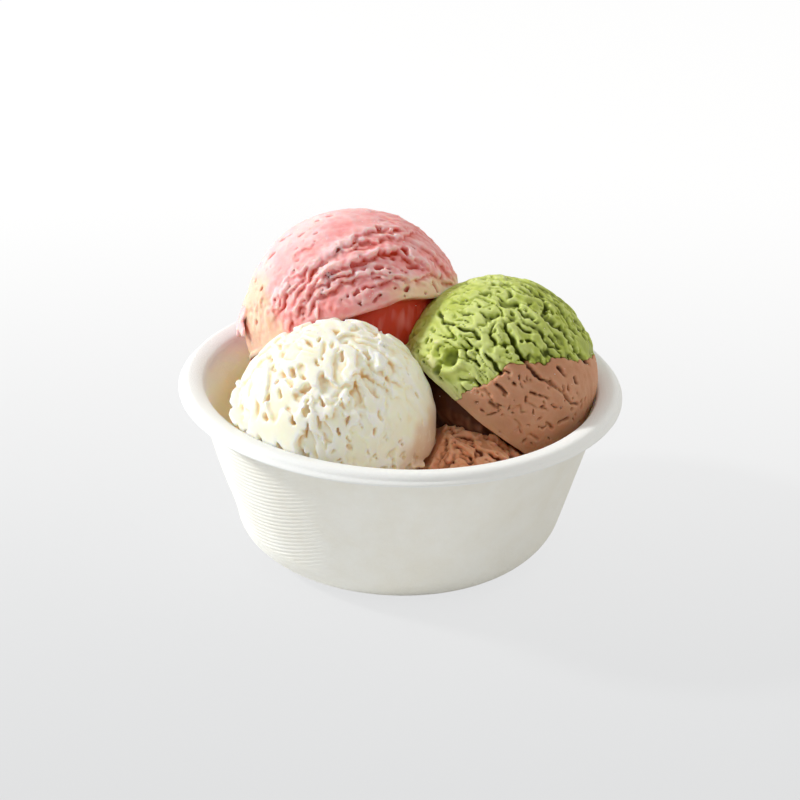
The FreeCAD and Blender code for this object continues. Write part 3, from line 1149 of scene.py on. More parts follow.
VANILLA_CENTRE = (-18.3, -22.6, 47.4)
PAIR_CENTRE = (28.2, 0.0, 53.0)
CHOCOLATE_CENTRE = (18.5, -22.5, 20.5)
VANILLA_STRAWBERRY = (VANILLA_CENTRE, (0.07, 0.966, 0.25), 18.4)
CHOCOLATE_VANILLA = (CHOCOLATE_CENTRE, (-0.80, 0.02, 0.60), 19.5)
PAIR_AXIS = (0.600, 0.239, 0.759)
PAIR_VANILLA = (PAIR_CENTRE, (-0.895, -0.438, -0.09), 26.5)


@dataclass
class Scoop:
    """A ball of ice cream with a pressed lip, carved from a block.

    Attributes:
        name: Piece name.
        centre: Ball centre in the frame, millimetres.
        axis: Direction of the pole.
        radius: Ball radius.
        lip_drop: Distance of the lip plane under the centre.
        depth: Depth of the underside below the lip.
        taper: Underside radius beside the lip radius.
        pitch: Grid spacing of the block.
        finish: Finish of the cream.
        slot: Material slot.
        node: CAD node that it stands for.
        flats: Flats against neighbours.
        rooms: Rooms taken by scoops that lie over this one.
        seed: Fixed seed of the holes.
    """

    name: str
    centre: Spot
    axis: Spot
    radius: float
    lip_drop: float
    depth: float
    taper: float
    pitch: float
    finish: CreamFinish
    slot: str
    node: str
    flats: tuple[Flat, ...] = ()
    rooms: tuple[Room, ...] = ()
    seed: int = 1

    def __post_init__(self) -> None:
        """Work out the pole in eater axes."""
        pole = EATER @ np.array(self.axis)
        self.pole = (pole / np.linalg.norm(pole)).astype(np.float32)
        self.block = Block(self.radius + 4.2, self.pitch * (1.0))

    @property
    def lip_radius(self) -> float:
        """Radius of the lip circle."""
        return math.sqrt(self.radius ** 2 - self.lip_drop ** 2)

    def over_lip(self, p: np.ndarray) -> np.ndarray:
        """Height of each point over the lip, millimetres."""
        return p @ self.pole + self.lip_drop

    def from_pole(self, p: np.ndarray) -> np.ndarray:
        """Distance of each point from the line through the pole."""
        level = p @ self.pole
        return np.sqrt(np.maximum((p * p).sum(1) - level ** 2, 0.0))

    def body(self, p: np.ndarray) -> np.ndarray:
        """Distance to the plain scoop: ball, lip and rounded underside.

        Args:
            p: Points in eater axes, millimetres.

        Returns:
            Signed distance per point.
        """
        above = self.over_lip(p)
        ball = np.linalg.norm(p, axis=1) - self.radius
        under_radius = self.lip_radius * self.taper
        ratio = np.sqrt((self.from_pole(p) / under_radius) ** 2 + (above / self.depth) ** 2)
        under = (ratio - 1.0) * min(under_radius, self.depth)
        top = carve_out(ball, -above, 0.9)
        return blend_in(top, under, 1.2)

    def relief(self, p: np.ndarray) -> np.ndarray:
        """Height of the torn surface over the plain scoop, millimetres."""
        raise NotImplementedError

    def skirt_reach(self, p: np.ndarray) -> np.ndarray:
        """How far the pressed-out cream stands over the lip circle, millimetres."""
        return 0.1 + 1.1 * NOISE.torn(p, 9.0, 3, 7.0)

    def skirt(self, p: np.ndarray) -> np.ndarray:
        """Distance to the cream pressed out at the lip.

        Args:
            p: Points in eater axes, millimetres.

        Returns:
            Signed distance per point, millimetres.
        """
        above = self.over_lip(p)
        thick = 0.62 + 0.3 * NOISE.at(p, 6.0, 2.0)
        flat = np.abs(above - 0.2 - 1.0 * NOISE.at(p, 12.0, 5.0)) - thick
        return np.maximum(flat, self.from_pole(p) - self.lip_radius - self.skirt_reach(p))

    def holes(self) -> list[Hole]:
        """Air holes and slits of this scoop."""
        return []

    def underside(self, p: np.ndarray) -> np.ndarray:
        """Relief of the part below the lip: scraped and slightly lumpy."""
        return 0.35 * NOISE.at(p, 6.0, 90.0) + 0.22 * NOISE.at(p, (1.6, 9.0, 1.6), 91.0)

    def ledges(self, s: np.ndarray, strokes: tuple[Stroke, ...]) -> np.ndarray:
        """Torn edges: high on the left of each path, low on its right.

        Args:
            s: Points on the ball in eater axes, millimetres.
            strokes: The torn edges.

        Returns:
            Height per point, millimetres.
        """
        total = np.zeros(len(s), np.float32)
        wobble_u = 1.15 * NOISE.torn(s, 3.6, 3, 81.0)
        wobble_v = 1.15 * NOISE.torn(s, 3.6, 3, 84.0)
        for stroke in strokes:
            near = self._near(s, stroke, 5.0 * stroke.width)
            far, side = stroke.nearest(s[near, 0] + wobble_u[near], s[near, 1] + wobble_v[near], self.radius)
            signed = far * side
            high = np.exp(-np.maximum(signed, 0.0) / (2.2 * stroke.width))
            low = np.exp(-np.maximum(-signed, 0.0) / (0.7 * stroke.width))
            gate = smooth(-0.25, 0.25, signed)
            total[near] += stroke.depth * (0.55 * high * gate - 0.9 * low * (1.0 - gate))
        return total

    def cracks(self, s: np.ndarray, strokes: tuple[Stroke, ...], ragged: float = 0.35) -> np.ndarray:
        """Depth of drawn cracks at points on the ball, millimetres.

        Args:
            s: Points on the ball in eater axes, millimetres.
            strokes: The drawn cracks.
            ragged: How far the cracks wander, millimetres.

        Returns:
            Depth per point, millimetres.
        """
        total = np.zeros(len(s), np.float32)
        wobble_u = ragged * NOISE.torn(s, 2.2, 2, 86.0)
        wobble_v = ragged * NOISE.torn(s, 2.2, 2, 88.0)
        uneven = 1.0 + 0.55 * NOISE.at(s, 2.6, 89.0)
        for stroke in strokes:
            near = self._near(s, stroke, 2.0 * stroke.width + 1.5)
            far, _ = stroke.nearest(s[near, 0] + wobble_u[near], s[near, 1] + wobble_v[near], self.radius)
            half = 0.5 * stroke.width * uneven[near]
            total[near] = np.maximum(total[near], stroke.depth * smooth(0.35, -0.35, far - half))
        return total

    def _near(self, s: np.ndarray, stroke: Stroke, margin: float) -> np.ndarray:
        """Numbers of the points on the eater's side close to a stroke.

        Args:
            s: Points on the ball in eater axes, millimetres.
            stroke: The drawn stroke.
            margin: Room round it, millimetres.

        Returns:
            Their numbers.
        """
        path = np.array(stroke.path) * self.radius
        low = path.min(0) - margin
        high = path.max(0) + margin
        return np.flatnonzero((s[:, 2] > 0.0) & (s[:, 0] > low[0]) & (s[:, 0] < high[0])
                              & (s[:, 1] > low[1]) & (s[:, 1] < high[1]))

    def _cut_to_place(self) -> None:
        """Cut the block at its flats and at the inside of the bowl."""
        line = self.block.line
        for flat in self.flats:
            way = EATER @ (np.array(flat.way) / np.linalg.norm(flat.way))
            start = EATER @ (np.array(flat.centre) - np.array(self.centre))
            level = flat.reach + float(start @ way)
            along = self.block.along(way)
            self.block.cut((level - along) if flat.keep_far else (along - level))
        for room in self.rooms:
            pole = EATER @ (np.array(room.axis) / np.linalg.norm(room.axis))
            start = EATER @ (np.array(room.centre) - np.array(self.centre))
            a, b, c = (line - start[k] for k in range(3))
            above = (a[:, None, None] * pole[0] + b[None, :, None] * pole[1] + c[None, None, :] * pole[2]
                     - room.plane)
            far = np.sqrt((a - room.middle * pole[0])[:, None, None] ** 2
                          + (b - room.middle * pole[1])[None, :, None] ** 2
                          + (c - room.middle * pole[2])[None, None, :] ** 2)
            self.block.cut(np.maximum(above, room.radius - far))
        x, y, z = (self.block.along(EATER[:, k]) + self.centre[k] for k in range(3))
        self.block.cut(BOWL.beyond_inside(np.hypot(x, y), z) + WALL_GAP)

    def carve(self) -> None:
        """Carve the whole scoop into its block."""
        n = len(self.block.line)
        dist = self.block.spread(self.body)
        band = np.flatnonzero(np.abs(dist) < BAND)
        p = self.block.points(band)
        above = self.over_lip(p)
        on_top = smooth(-0.6, 1.4, above)
        rough = self.relief(p) * on_top + self.underside(p) * (1.0 - on_top)
        worked = dist[band] - rough
        dist[band] = blend_in(worked, self.skirt(p).astype(np.float32), 0.5)
        self.block.field_ = dist.reshape(n, n, n)
        self.block.wander(band, p)
        for hole in self.holes():
            self.block.press(hole)
        self._cut_to_place()

    def surface_hole(self, u: float, v: float, back: bool, slant: float, radii: Spot,
                     sink: float = 0.0, lean: float = 0.0) -> Hole:
        """Hole on the ball at (u, v) of the eater's view.

        Args:
            u: Distance right of the centre as a share of the radius.
            v: Distance up as a share of the radius.
            back: Whether it is on the far side.
            slant: Angle of the slit from the right, radians.
            radii: Half length, half width and half depth in millimetres.
            sink: How far the hole's middle lies under the surface.
            lean: How far the hole leans along its slit as it goes in.

        Returns:
            The hole.
        """
        w = math.sqrt(max(0.0, 1.0 - u * u - v * v)) * (-1.0 if back else 1.0)
        out = np.array([u, v, w])
        out /= np.linalg.norm(out)
        along = np.array([math.cos(slant), math.sin(slant), 0.0])
        along -= out * float(along @ out)
        along /= np.linalg.norm(along)
        across = np.cross(out, along)
        inward = -out + lean * across
        inward /= np.linalg.norm(inward)
        across = np.cross(inward, along)
        centre = out * (self.radius - sink)
        return Hole(centre.astype(np.float32), np.stack([along, across, inward]), radii)

    def back_holes(self, rng: np.random.Generator, count: int) -> list[Hole]:
        """Plain scattered holes on the side turned away from the eater.

        Args:
            rng: Source of random numbers.
            count: How many are tried.

        Returns:
            The holes.
        """
        made = []
        for _ in range(count):
            u, v = rng.uniform(-0.9, 0.9, 2)
            if u * u + v * v < 0.85:
                made.append(self.surface_hole(u, v, True, rng.uniform(0.0, 3.1),
                                              (rng.uniform(0.6, 1.8), rng.uniform(0.3, 0.55), 1.1), 0.1))
        return made

    def build(self) -> list[bpy.types.Object]:
        """Carve, skin and hand over the scoop."""
        self.carve()
        return [self.skin(self.name, self.finish, self.slot, self.node)]

    def skin(self, name: str, finish: CreamFinish, slot: str, node: str,
             cut: np.ndarray | None = None) -> bpy.types.Object:
        """Turn the carved block into a dressed piece.

        Args:
            name: Name of the piece.
            finish: Its finish.
            slot: Its material slot; not used.
            node: CAD node that it stands for.
            cut: Another distance block that bounds this piece.

        Returns:
            The piece.
        """
        mesh, local = self.block.mesh(name, np.array(self.centre), cut)
        p = local.astype(np.float32)
        # painted shade and light: hollow depth plus the painted shading below, read by the material as its
        # deep and frost colours
        store(mesh, "cavity_shade", self.block.hollows(local) + self.painted_light_and_wetness(p))
        store(mesh, "swirl_and_painted_light", self.swirl_and_painted_light(p))
        piece = show(mesh, name)
        hand_over(piece, finish.material(), (node,))
        return piece

    def painted_light_and_wetness(self, p: np.ndarray) -> np.ndarray:
        """Painted shade: deeper colour under the lip, where the ball shades its underside."""
        return smooth(0.3, -1.2, self.over_lip(p))

    def swirl_and_painted_light(self, p: np.ndarray) -> np.ndarray:
        """Share of the second colour at each point: folded-in cream, and on the pair scoop painted light
        along the lip.
        """
        return np.zeros(len(p), np.float32)

    def on_ball(self, p: np.ndarray) -> tuple[np.ndarray, np.ndarray]:
        """Points moved straight out to the ball, and how deep they were."""
        far = np.maximum(np.linalg.norm(p, axis=1), 1e-3)
        return p * (self.radius / far)[:, None], self.radius - far

    def rings(self, s: np.ndarray, focus: Spot) -> tuple[np.ndarray, np.ndarray]:
        """Distance over the ball from a focus and round it, millimetres.

        Args:
            s: Points on the ball.
            focus: Direction that the blade turned about.

        Returns:
            Way from the focus, and way round it.
        """
        f = np.array(focus) / np.linalg.norm(focus)
        first = np.cross(f, (0.0, 0.0, 1.0))
        first /= np.linalg.norm(first)
        second = np.cross(f, first)
        along = np.clip(s @ f / self.radius, -1.0, 1.0)
        angle = np.arccos(along)
        around = np.arctan2(s @ second, s @ first)
        round_it = around * np.sin(angle) * self.radius
        return (angle * self.radius).astype(np.float32), round_it.astype(np.float32)


@dataclass
class StrawberryScoop(Scoop):
    """Back scoop, sheared into overlapping shingles that follow the drag."""

    name: str = "strawberry_ball"
    centre: Spot = (-14.8, 20.0, 60.7)
    axis: Spot = (-0.383, 0.386, 0.839)
    radius: float = 33.1
    lip_drop: float = 0.0
    depth: float = 24.0
    taper: float = 0.86
    pitch: float = 0.46
    finish: CreamFinish = STRAWBERRY
    slot: str = "strawberry"
    node: str = "strawberry_scoop"
    flats: tuple[Flat, ...] = (Flat(*VANILLA_STRAWBERRY, True),)
    seed: int = 3

    FOCUS = (0.30, -0.30, 0.905)
    EDGES = (
        Stroke(((-0.20, 0.32), (-0.10, 0.36), (-0.03, 0.38), (0.00, 0.45), (0.06, 0.49), (0.18, 0.53),
                (0.26, 0.59), (0.35, 0.61), (0.42, 0.63), (0.49, 0.55), (0.57, 0.50)), 1.9, 1.5),
        Stroke(((-0.45, 0.18), (-0.42, 0.27), (-0.34, 0.37), (-0.31, 0.43), (-0.25, 0.48), (-0.19, 0.51),
                (-0.13, 0.57), (-0.06, 0.63), (0.05, 0.71), (0.18, 0.79), (0.30, 0.77)), 2.0, 1.1),
        Stroke(((-0.37, 0.03), (-0.34, 0.10), (-0.27, 0.17), (-0.19, 0.23), (-0.10, 0.30), (0.00, 0.33),
                (0.09, 0.36), (0.18, 0.40), (0.30, 0.37), (0.45, 0.34)), 1.6, 1.15),
        Stroke(((-0.61, 0.06), (-0.58, 0.13), (-0.52, 0.22), (-0.46, 0.30), (-0.39, 0.37)), 1.4, 1.0),
        Stroke(((-0.45, 0.03), (-0.39, 0.13), (-0.30, 0.24), (-0.24, 0.33), (-0.16, 0.40)), 1.3, 1.1),
        Stroke(((0.22, 0.27), (0.30, 0.33), (0.37, 0.36), (0.48, 0.31), (0.63, 0.41), (0.72, 0.40),
                (0.85, 0.34)), 1.3, 0.8),
        Stroke(((0.02, 0.62), (0.10, 0.66), (0.20, 0.66), (0.27, 0.70), (0.36, 0.68), (0.47, 0.74)),
               1.4, 0.8),
        Stroke(((-0.48, 0.53), (-0.42, 0.58), (-0.36, 0.62)), 1.2, 0.7),
    )
    PITS = (
        (0.255, 0.551, 0.2, 1.0, 0.6), (0.352, 0.544, -0.2, 1.0, 0.8), (0.52, 0.47, 0.35, 2.6, 0.9),
        (0.225, 0.432, 0.35, 1.35, 1.0), (0.09, 0.477, 0.4, 1.6, 0.5), (0.01, 0.459, 0.4, 1.0, 0.5),
        (0.18, 0.514, 0.45, 1.2, 0.5), (0.688, 0.499, -1.0, 1.6, 0.6), (0.733, 0.29, -1.0, 1.4, 0.5),
        (0.479, 0.26, 0.75, 1.3, 0.6), (0.181, 0.265, 0.3, 1.0, 0.45), (0.113, 0.25, 0.35, 1.3, 0.45),
        (0.058, 0.208, 0.4, 0.9, 0.4), (-0.036, 0.171, 0.4, 0.6, 0.4), (-0.09, 0.14, 0.4, 0.4, 0.35),
        (-0.804, 0.23, 1.0, 1.1, 0.7), (-0.737, 0.536, 0.9, 1.4, 0.7), (-0.655, 0.678, 0.8, 1.1, 0.6),
        (-0.588, 0.723, 0.8, 0.9, 0.5), (-0.476, 0.73, 0.7, 1.2, 0.7), (-0.35, 0.86, 0.5, 0.8, 0.5),
        (-0.24, 0.91, 0.4, 1.3, 0.6), (-0.87, 0.30, 1.1, 0.8, 0.5), (-0.85, -0.07, 0.8, 0.7, 0.5),
        (0.42, 0.42, 0.3, 0.7, 0.35), (0.46, 0.40, 0.3, 0.5, 0.35), (0.30, 0.42, 0.4, 0.9, 0.35),
        (0.64, 0.23, 0.3, 0.8, 0.35), (0.77, 0.40, -0.9, 0.9, 0.5),
    )

    def over_lip(self, p: np.ndarray) -> np.ndarray:
        """Height over the lip, which droops at the far right."""
        droop = 3.2 * smooth(0.35, 0.85, p[:, 0] / self.radius) * smooth(-0.2, 0.3, p[:, 2] / self.radius)
        return p @ self.pole + self.lip_drop + droop

    def skirt_reach(self, p: np.ndarray) -> np.ndarray:
        """Thin lip, a little wider at the far left."""
        left = smooth(-0.70, -0.92, p[:, 0] / self.radius)
        return -0.5 + 0.5 * NOISE.torn(p, 9.0, 3, 7.0) + 0.8 * left

    def skirt(self, p: np.ndarray) -> np.ndarray:
        """The thin lip, and a flap peeled off the far left side.

        Args:
            p: Points in eater axes, millimetres.

        Returns:
            Signed distance per point, millimetres.
        """
        u, v, w = (p[:, k] / self.radius for k in range(3))
        peel = np.clip((0.16 - v) / 0.30, 0.0, 1.0)
        level = np.linalg.norm(p, axis=1) - self.radius - 2.3 * peel + 0.5 - 0.3 * NOISE.at(p, 4.0, 23.0)
        sheet = np.abs(level) - 0.6
        ragged = 0.05 * NOISE.torn(p, 4.0, 3, 24.0)
        window = np.maximum(np.abs(v + 0.01) - 0.17, np.maximum(u + 0.80, np.abs(w - 0.02) - 0.34)) + ragged
        flap = np.maximum(sheet, window * self.radius)
        return np.minimum(super().skirt(p), flap)

    def relief(self, p: np.ndarray) -> np.ndarray:
        """Smooth upper left, stepped shingles over the middle and right.

        Args:
            p: Points in eater axes, millimetres.

        Returns:
            Height per point, millimetres.
        """
        s, deep = self.on_ball(p)
        u = s[:, 0] / self.radius
        v = s[:, 1] / self.radius
        out, around = self.rings(s, self.FOCUS)
        out = out - 0.55 * deep
        flow = np.stack([out, around * 0.5, s[:, 2] * 0.2], axis=1).astype(np.float32)
        lumps = 0.5 * NOISE.at(s, 15.0, 1.0) + 0.22 * NOISE.at(s, 6.0, 2.0) + 0.14 * NOISE.at(s, 2.2, 3.0)
        across = (u + 0.71) * 0.608 - (v - 0.33) * 0.794
        torn = smooth(-0.04, 0.16, across + 0.06 * NOISE.at(s, 6.0, 15.0))
        torn = torn * smooth(0.8, 4.2, self.over_lip(p))
        torn = torn * (1.0 - 0.45 * smooth(0.55, 0.75, v)) * smooth(-0.85, -0.6, s[:, 2] / self.radius)
        warp = (2.4 * NOISE.at(s, 9.0, 4.0) + 1.9 * NOISE.at(s, 4.2, 5.0) + 1.3 * NOISE.at(s, 2.1, 6.0)
                + 0.3 * NOISE.at(s, 1.1, 7.0))
        total = lumps + 0.3 * NOISE.at(s, 1.4, 19.0) * torn
        for pitch, height, shift, wide, cover in ((7.2, 0.8, 0.0, 9.0, 0.1), (3.9, 0.45, 0.4, 5.0, 0.0)):
            phase = (out + warp * min(1.0, pitch / 4.0)) / pitch + shift
            step = phase - np.floor(phase)
            tooth = smooth(0.0, 0.09, step) * (1.0 - smooth(0.05, 0.95, step)) * 1.1
            runs = NOISE.at(flow, (wide * 0.6, wide, wide), 9.0 + pitch) + cover
            strength = 0.04 + smooth(-0.16, 0.14, runs + 0.12 * NOISE.at(s, 1.6, 18.0))
            total = total + height * (tooth - 0.35) * strength * torn
        total = total + (1.05 + 0.6 * NOISE.at(s, 3.4, 22.0)) * self.ledges(s, self.EDGES)
        fold = smooth(-0.55, -0.75, u + 0.25 * v) * smooth(0.15, -0.1, v)
        slanted = np.stack([s[:, 0] + 0.35 * s[:, 1], s[:, 1] * 0.25, s[:, 2] * 0.4], axis=1)
        ridge = NOISE.at(slanted, 5.5, 17.0)
        return (total * (1.0 - 0.6 * fold) + 0.5 * fold * ridge).astype(np.float32)

    def holes(self) -> list[Hole]:
        """Strings of holes along the drag, and sparse pits upper left.

        Returns:
            The holes.
        """
        rng = np.random.default_rng(self.seed)
        made: list[Hole] = []
        for u, v, slant, length, width in self.PITS:
            made.append(self.surface_hole(u, v, False, slant, (length, width, width + 0.8), 0.35, -0.4))
        for _ in range(34):
            u, v = rng.uniform(-0.35, 0.8), rng.uniform(0.05, 0.75)
            if u * u + v * v < 0.9:
                size = rng.uniform(0.28, 0.6)
                made.append(self.surface_hole(u, v, False, 0.75 - 0.9 * u + rng.normal() * 0.35,
                                              (size * rng.uniform(1.2, 2.6), size, size * 1.6), 0.5, -0.4))
        for _ in range(46):
            angle = rng.uniform(1.7, 3.5)
            far = rng.uniform(0.4, 0.95)
            u, v = far * math.cos(angle), far * math.sin(angle)
            length = rng.uniform(0.35, 0.8)
            made.append(self.surface_hole(u, v, False, 0.75 + rng.normal() * 0.3,
                                          (length, rng.uniform(0.2, 0.35), rng.uniform(0.4, 0.7)), -0.1))
        return made + self.back_holes(rng, 120)

    def painted_light_and_wetness(self, p: np.ndarray) -> np.ndarray:
        """Painted shade under the lip, paler at the lit upper left (partly frost, partly painted highlight),
        and deeper colour over the torn middle.

        Args:
            p: Points in eater axes, millimetres.

        Returns:
            Extra depth per point, millimetres.
        """
        u = p[:, 0] / self.radius
        v = p[:, 1] / self.radius
        across = (u + 0.71) * 0.608 - (v - 0.33) * 0.794
        streak = 0.35 * NOISE.at(p, (1.5, 8.0, 1.5), 26.0)
        return ((0.72 + streak) * smooth(0.3, -1.2, self.over_lip(p)) - 0.42 * smooth(0.05, -0.30, across)
                + 0.20 * smooth(0.1, 0.3, across))

    def swirl_and_painted_light(self, p: np.ndarray) -> np.ndarray:
        """Cream folded in at the lower left and along the lower right lip.

        Args:
            p: Points in eater axes, millimetres.

        Returns:
            Share from 0 to 1 per point.
        """
        u = p[:, 0] / self.radius
        v = p[:, 1] / self.radius
        edge = 0.10 * NOISE.at(p, 8.0, 20.0) + 0.05 * NOISE.at(p, 3.0, 21.0)
        left = smooth(-0.60, -0.74, u + 0.28 * v + edge) * smooth(0.22, 0.02, v + 0.25 * u + edge)
        above = self.over_lip(p) / self.radius
        right = smooth(0.20, 0.08, above + edge * 0.6) * smooth(0.22, 0.5, u + edge)
        right = right * smooth(-0.06, 0.0, above)
        outer = smooth(self.radius + 0.5, self.radius + 1.0, np.linalg.norm(p, axis=1))
        peeled = outer * smooth(-0.8, -0.9, u)
        return np.clip(np.maximum(0.85 * left, 0.85 * right) - peeled, 0.0, 1.0) * (p[:, 2] > -2.0)


@dataclass
class VanillaScoop(Scoop):
    """Front left scoop, pulled into flakes and upright air holes."""

    name: str = "vanilla_ball"
    centre: Spot = VANILLA_CENTRE
    axis: Spot = (0.18, -0.08, 0.98)
    radius: float = 28.8
    lip_drop: float = 0.0
    depth: float = 25.0
    taper: float = 0.95
    pitch: float = 0.40
    finish: CreamFinish = VANILLA
    slot: str = "vanilla"
    node: str = "vanilla_scoop"
    flats: tuple[Flat, ...] = (
        Flat(*VANILLA_STRAWBERRY), Flat(*PAIR_VANILLA, True), Flat(*CHOCOLATE_VANILLA, True))
    seed: int = 4

    PITS = (
        (-0.40, 0.47, 1.9, 1.7, 0.8), (-0.12, 0.44, 1.1, 1.3, 0.8), (-0.52, 0.27, 1.7, 1.2, 0.6),
        (-0.60, 0.52, 1.7, 1.4, 0.5), (-0.64, 0.04, 1.4, 1.0, 0.7), (-0.37, 0.02, 1.6, 1.3, 0.6),
        (-0.24, 0.14, 1.6, 2.3, 0.8), (-0.10, 0.20, 2.0, 1.2, 0.5), (-0.05, -0.14, 2.1, 2.2, 0.45),
        (0.06, -0.06, 1.6, 0.7, 0.5), (0.15, -0.13, 1.5, 0.8, 0.4), (0.17, -0.21, 0.2, 1.0, 0.6),
        (0.27, 0.00, 1.6, 0.5, 0.3), (0.41, 0.30, 1.5, 1.4, 0.55), (0.49, 0.39, 1.6, 0.8, 0.4),
        (0.44, 0.10, 1.3, 1.3, 0.4), (0.79, 0.30, 1.9, 0.9, 0.5), (0.63, 0.09, 1.5, 0.7, 0.3),
        (0.51, -0.11, 1.0, 0.9, 0.4), (0.57, -0.28, 0.5, 2.0, 0.7), (0.68, -0.29, 0.4, 1.3, 0.6),
        (0.50, -0.42, 0.2, 1.7, 0.6), (0.59, -0.38, 1.4, 1.5, 0.55), (0.74, -0.42, 0.6, 1.6, 0.7),
        (0.66, -0.16, 0.9, 1.2, 0.45), (0.80, -0.30, 1.8, 1.5, 0.6), (0.42, -0.30, 0.7, 1.1, 0.45),
        (-0.68, -0.22, 1.9, 1.6, 0.7),
        (-0.50, -0.24, 2.1, 1.5, 0.6), (-0.26, -0.30, 2.2, 2.1, 0.7), (0.08, -0.35, 0.6, 0.9, 0.3),
        (-0.30, 0.44, 1.8, 1.1, 0.6), (-0.18, 0.58, 1.5, 1.0, 0.5), (0.30, 0.66, 2.4, 1.4, 0.9),
    )
    FLAKES = (
        Stroke(((0.30, 0.58), (0.38, 0.52), (0.47, 0.49), (0.56, 0.44)), 1.7, 1.2),
        Stroke(((0.20, 0.44), (0.24, 0.48), (0.28, 0.52), (0.36, 0.47), (0.44, 0.40), (0.53, 0.33)),
               1.7, 1.3),
        Stroke(((0.12, 0.20), (0.16, 0.33), (0.22, 0.42), (0.25, 0.34), (0.27, 0.24)), 1.1, 1.0),
        Stroke(((-0.03, 0.06), (0.04, 0.16), (0.08, 0.22), (0.11, 0.12), (0.15, 0.04)), 1.1, 1.0),
        Stroke(((-0.20, 0.16), (-0.13, 0.26), (-0.02, 0.18), (0.03, 0.24)), 1.1, 0.9),
        Stroke(((-0.44, 0.38), (-0.33, 0.30), (-0.22, 0.24), (-0.17, 0.12)), 1.3, -0.9),
        Stroke(((-0.30, -0.20), (-0.22, -0.05), (-0.12, -0.12), (-0.05, -0.25)), 1.2, 0.8),
        Stroke(((0.22, 0.80), (0.34, 0.76), (0.46, 0.68), (0.58, 0.56)), 1.2, 0.7),
    )

    def skirt_reach(self, p: np.ndarray) -> np.ndarray:
        """Ragged flaps at the far left and at the lower right.

        Args:
            p: Points in eater axes, millimetres.

        Returns:
            Reach per point, millimetres.
        """
        u = p[:, 0] / self.radius
        left = smooth(-0.70, -0.95, u)
        right = smooth(0.70, 0.92, u)
        return -0.3 + 1.6 * NOISE.torn(p, 5.0, 3, 7.0) + 2.0 * left + 0.9 * right

    def relief(self, p: np.ndarray) -> np.ndarray:
        """Flakes in three sizes, calmer towards the lower right.

        Args:
            p: Points in eater axes, millimetres.

        Returns:
            Height per point, millimetres.
        """
        s, deep = self.on_ball(p)
        u = s[:, 0] / self.radius
        v = s[:, 1] / self.radius
        slid = s.copy()
        slid[:, 1] -= 0.5 * deep
        warp = np.stack([0.9 * NOISE.at(s, 3.4, 33.0 + k) + 0.22 * NOISE.at(s, 1.4, 46.0 + k)
                         for k in range(3)], axis=1)
        slid = slid + warp
        calm = smooth(-0.05, 0.75, u - 0.55 * v)
        rough = 1.0 - 0.88 * calm
        total = 0.55 * NOISE.at(s, 14.0, 31.0) + 0.2 * NOISE.at(s, 5.0, 32.0)
        tilted = slid[:, 0] + 0.45 * slid[:, 1] * np.sign(0.4 - u) * 0.5
        leaned = np.stack([tilted, slid[:, 1], slid[:, 2]], axis=1)
        for wave, height, edge, cover, shift in (((6.5, 12.0, 6.5), 0.9, 0.06, 0.14, 36.0),
                                                 ((4.0, 8.5, 4.0), 0.9, 0.07, 0.28, 37.0)):
            plate = smooth(-edge, edge, NOISE.at(leaned, wave, shift) + cover)
            total = total + height * (plate - 0.75) * rough
        total = total + self.ledges(s, self.FLAKES)
        drag = NOISE.at(np.stack([s[:, 0] + s[:, 1] * 0.9, s[:, 1] * 0.2 - s[:, 0] * 0.2, s[:, 2] * 0.4],
                                 axis=1), 2.6, 41.0)
        total = total + 0.4 * drag * smooth(0.1, 0.5, v + 0.35 * u) * smooth(-0.3, 0.1, u)
        comb = np.sin((s[:, 1] * 0.97 + s[:, 0] * 0.24) * 2.0 * math.pi / 1.35)
        here = smooth(0.16, 0.08, np.hypot((u + 0.27) * 1.2, v - 0.74))
        return (total + 0.28 * comb * here).astype(np.float32)

    def holes(self) -> list[Hole]:
        """Upright, ragged teardrops, dense at the left and low middle.

        Returns:
            The holes.
        """
        rng = np.random.default_rng(self.seed)
        made: list[Hole] = []
        for u, v, slant, length, width in self.PITS:
            made.append(self.surface_hole(u, v, False, slant, (length, width, width + 0.7), 0.2))
            made.append(self.surface_hole(u + 0.02, v - 0.03, False, slant + 0.8,
                                          (length * 0.6, width, width + 0.7), 0.2))
        tries = 0
        while len(made) < 130 and tries < 4000:
            tries += 1
            u, v = rng.uniform(-0.97, 0.97, 2)
            if u * u + v * v > 0.92:
                continue
            calm = max(0.0, min(1.0, (u - 0.55 * v + 0.1) / 0.8))
            if rng.random() < calm * 0.9 or rng.random() < 0.5 * max(0.0, v):
                continue
            size = rng.uniform(0.3, 0.7) * (1.0 - 0.4 * calm)
            made.append(self.surface_hole(u, v, False, math.pi / 2.0 + 0.5 * u + rng.normal() * 0.35,
                                          (size * rng.uniform(1.8, 4.0), size, size * rng.uniform(1.5, 2.3)),
                                          rng.uniform(-0.1, 0.3)))
        return made + self.back_holes(rng, 90)

    def painted_light_and_wetness(self, p: np.ndarray) -> np.ndarray:
        """Painted light: paler low down, standing in for light that reaches there through the cream and off
        the bowl.
        """
        return -0.35 * smooth(-0.25, -0.7, p[:, 1] / self.radius)

    def swirl_and_painted_light(self, p: np.ndarray) -> np.ndarray:
        """Faint chocolate tint where it rubs the low scoop.

        Args:
            p: Points in eater axes, millimetres.

        Returns:
            Share from 0 to 1 per point.
        """
        u = p[:, 0] / self.radius
        v = p[:, 1] / self.radius
        return np.clip(smooth(0.72, 1.0, u - 0.45 * v + 0.1 * NOISE.at(p, 5.0, 44.0)), 0.0, 1.0) * 0.7


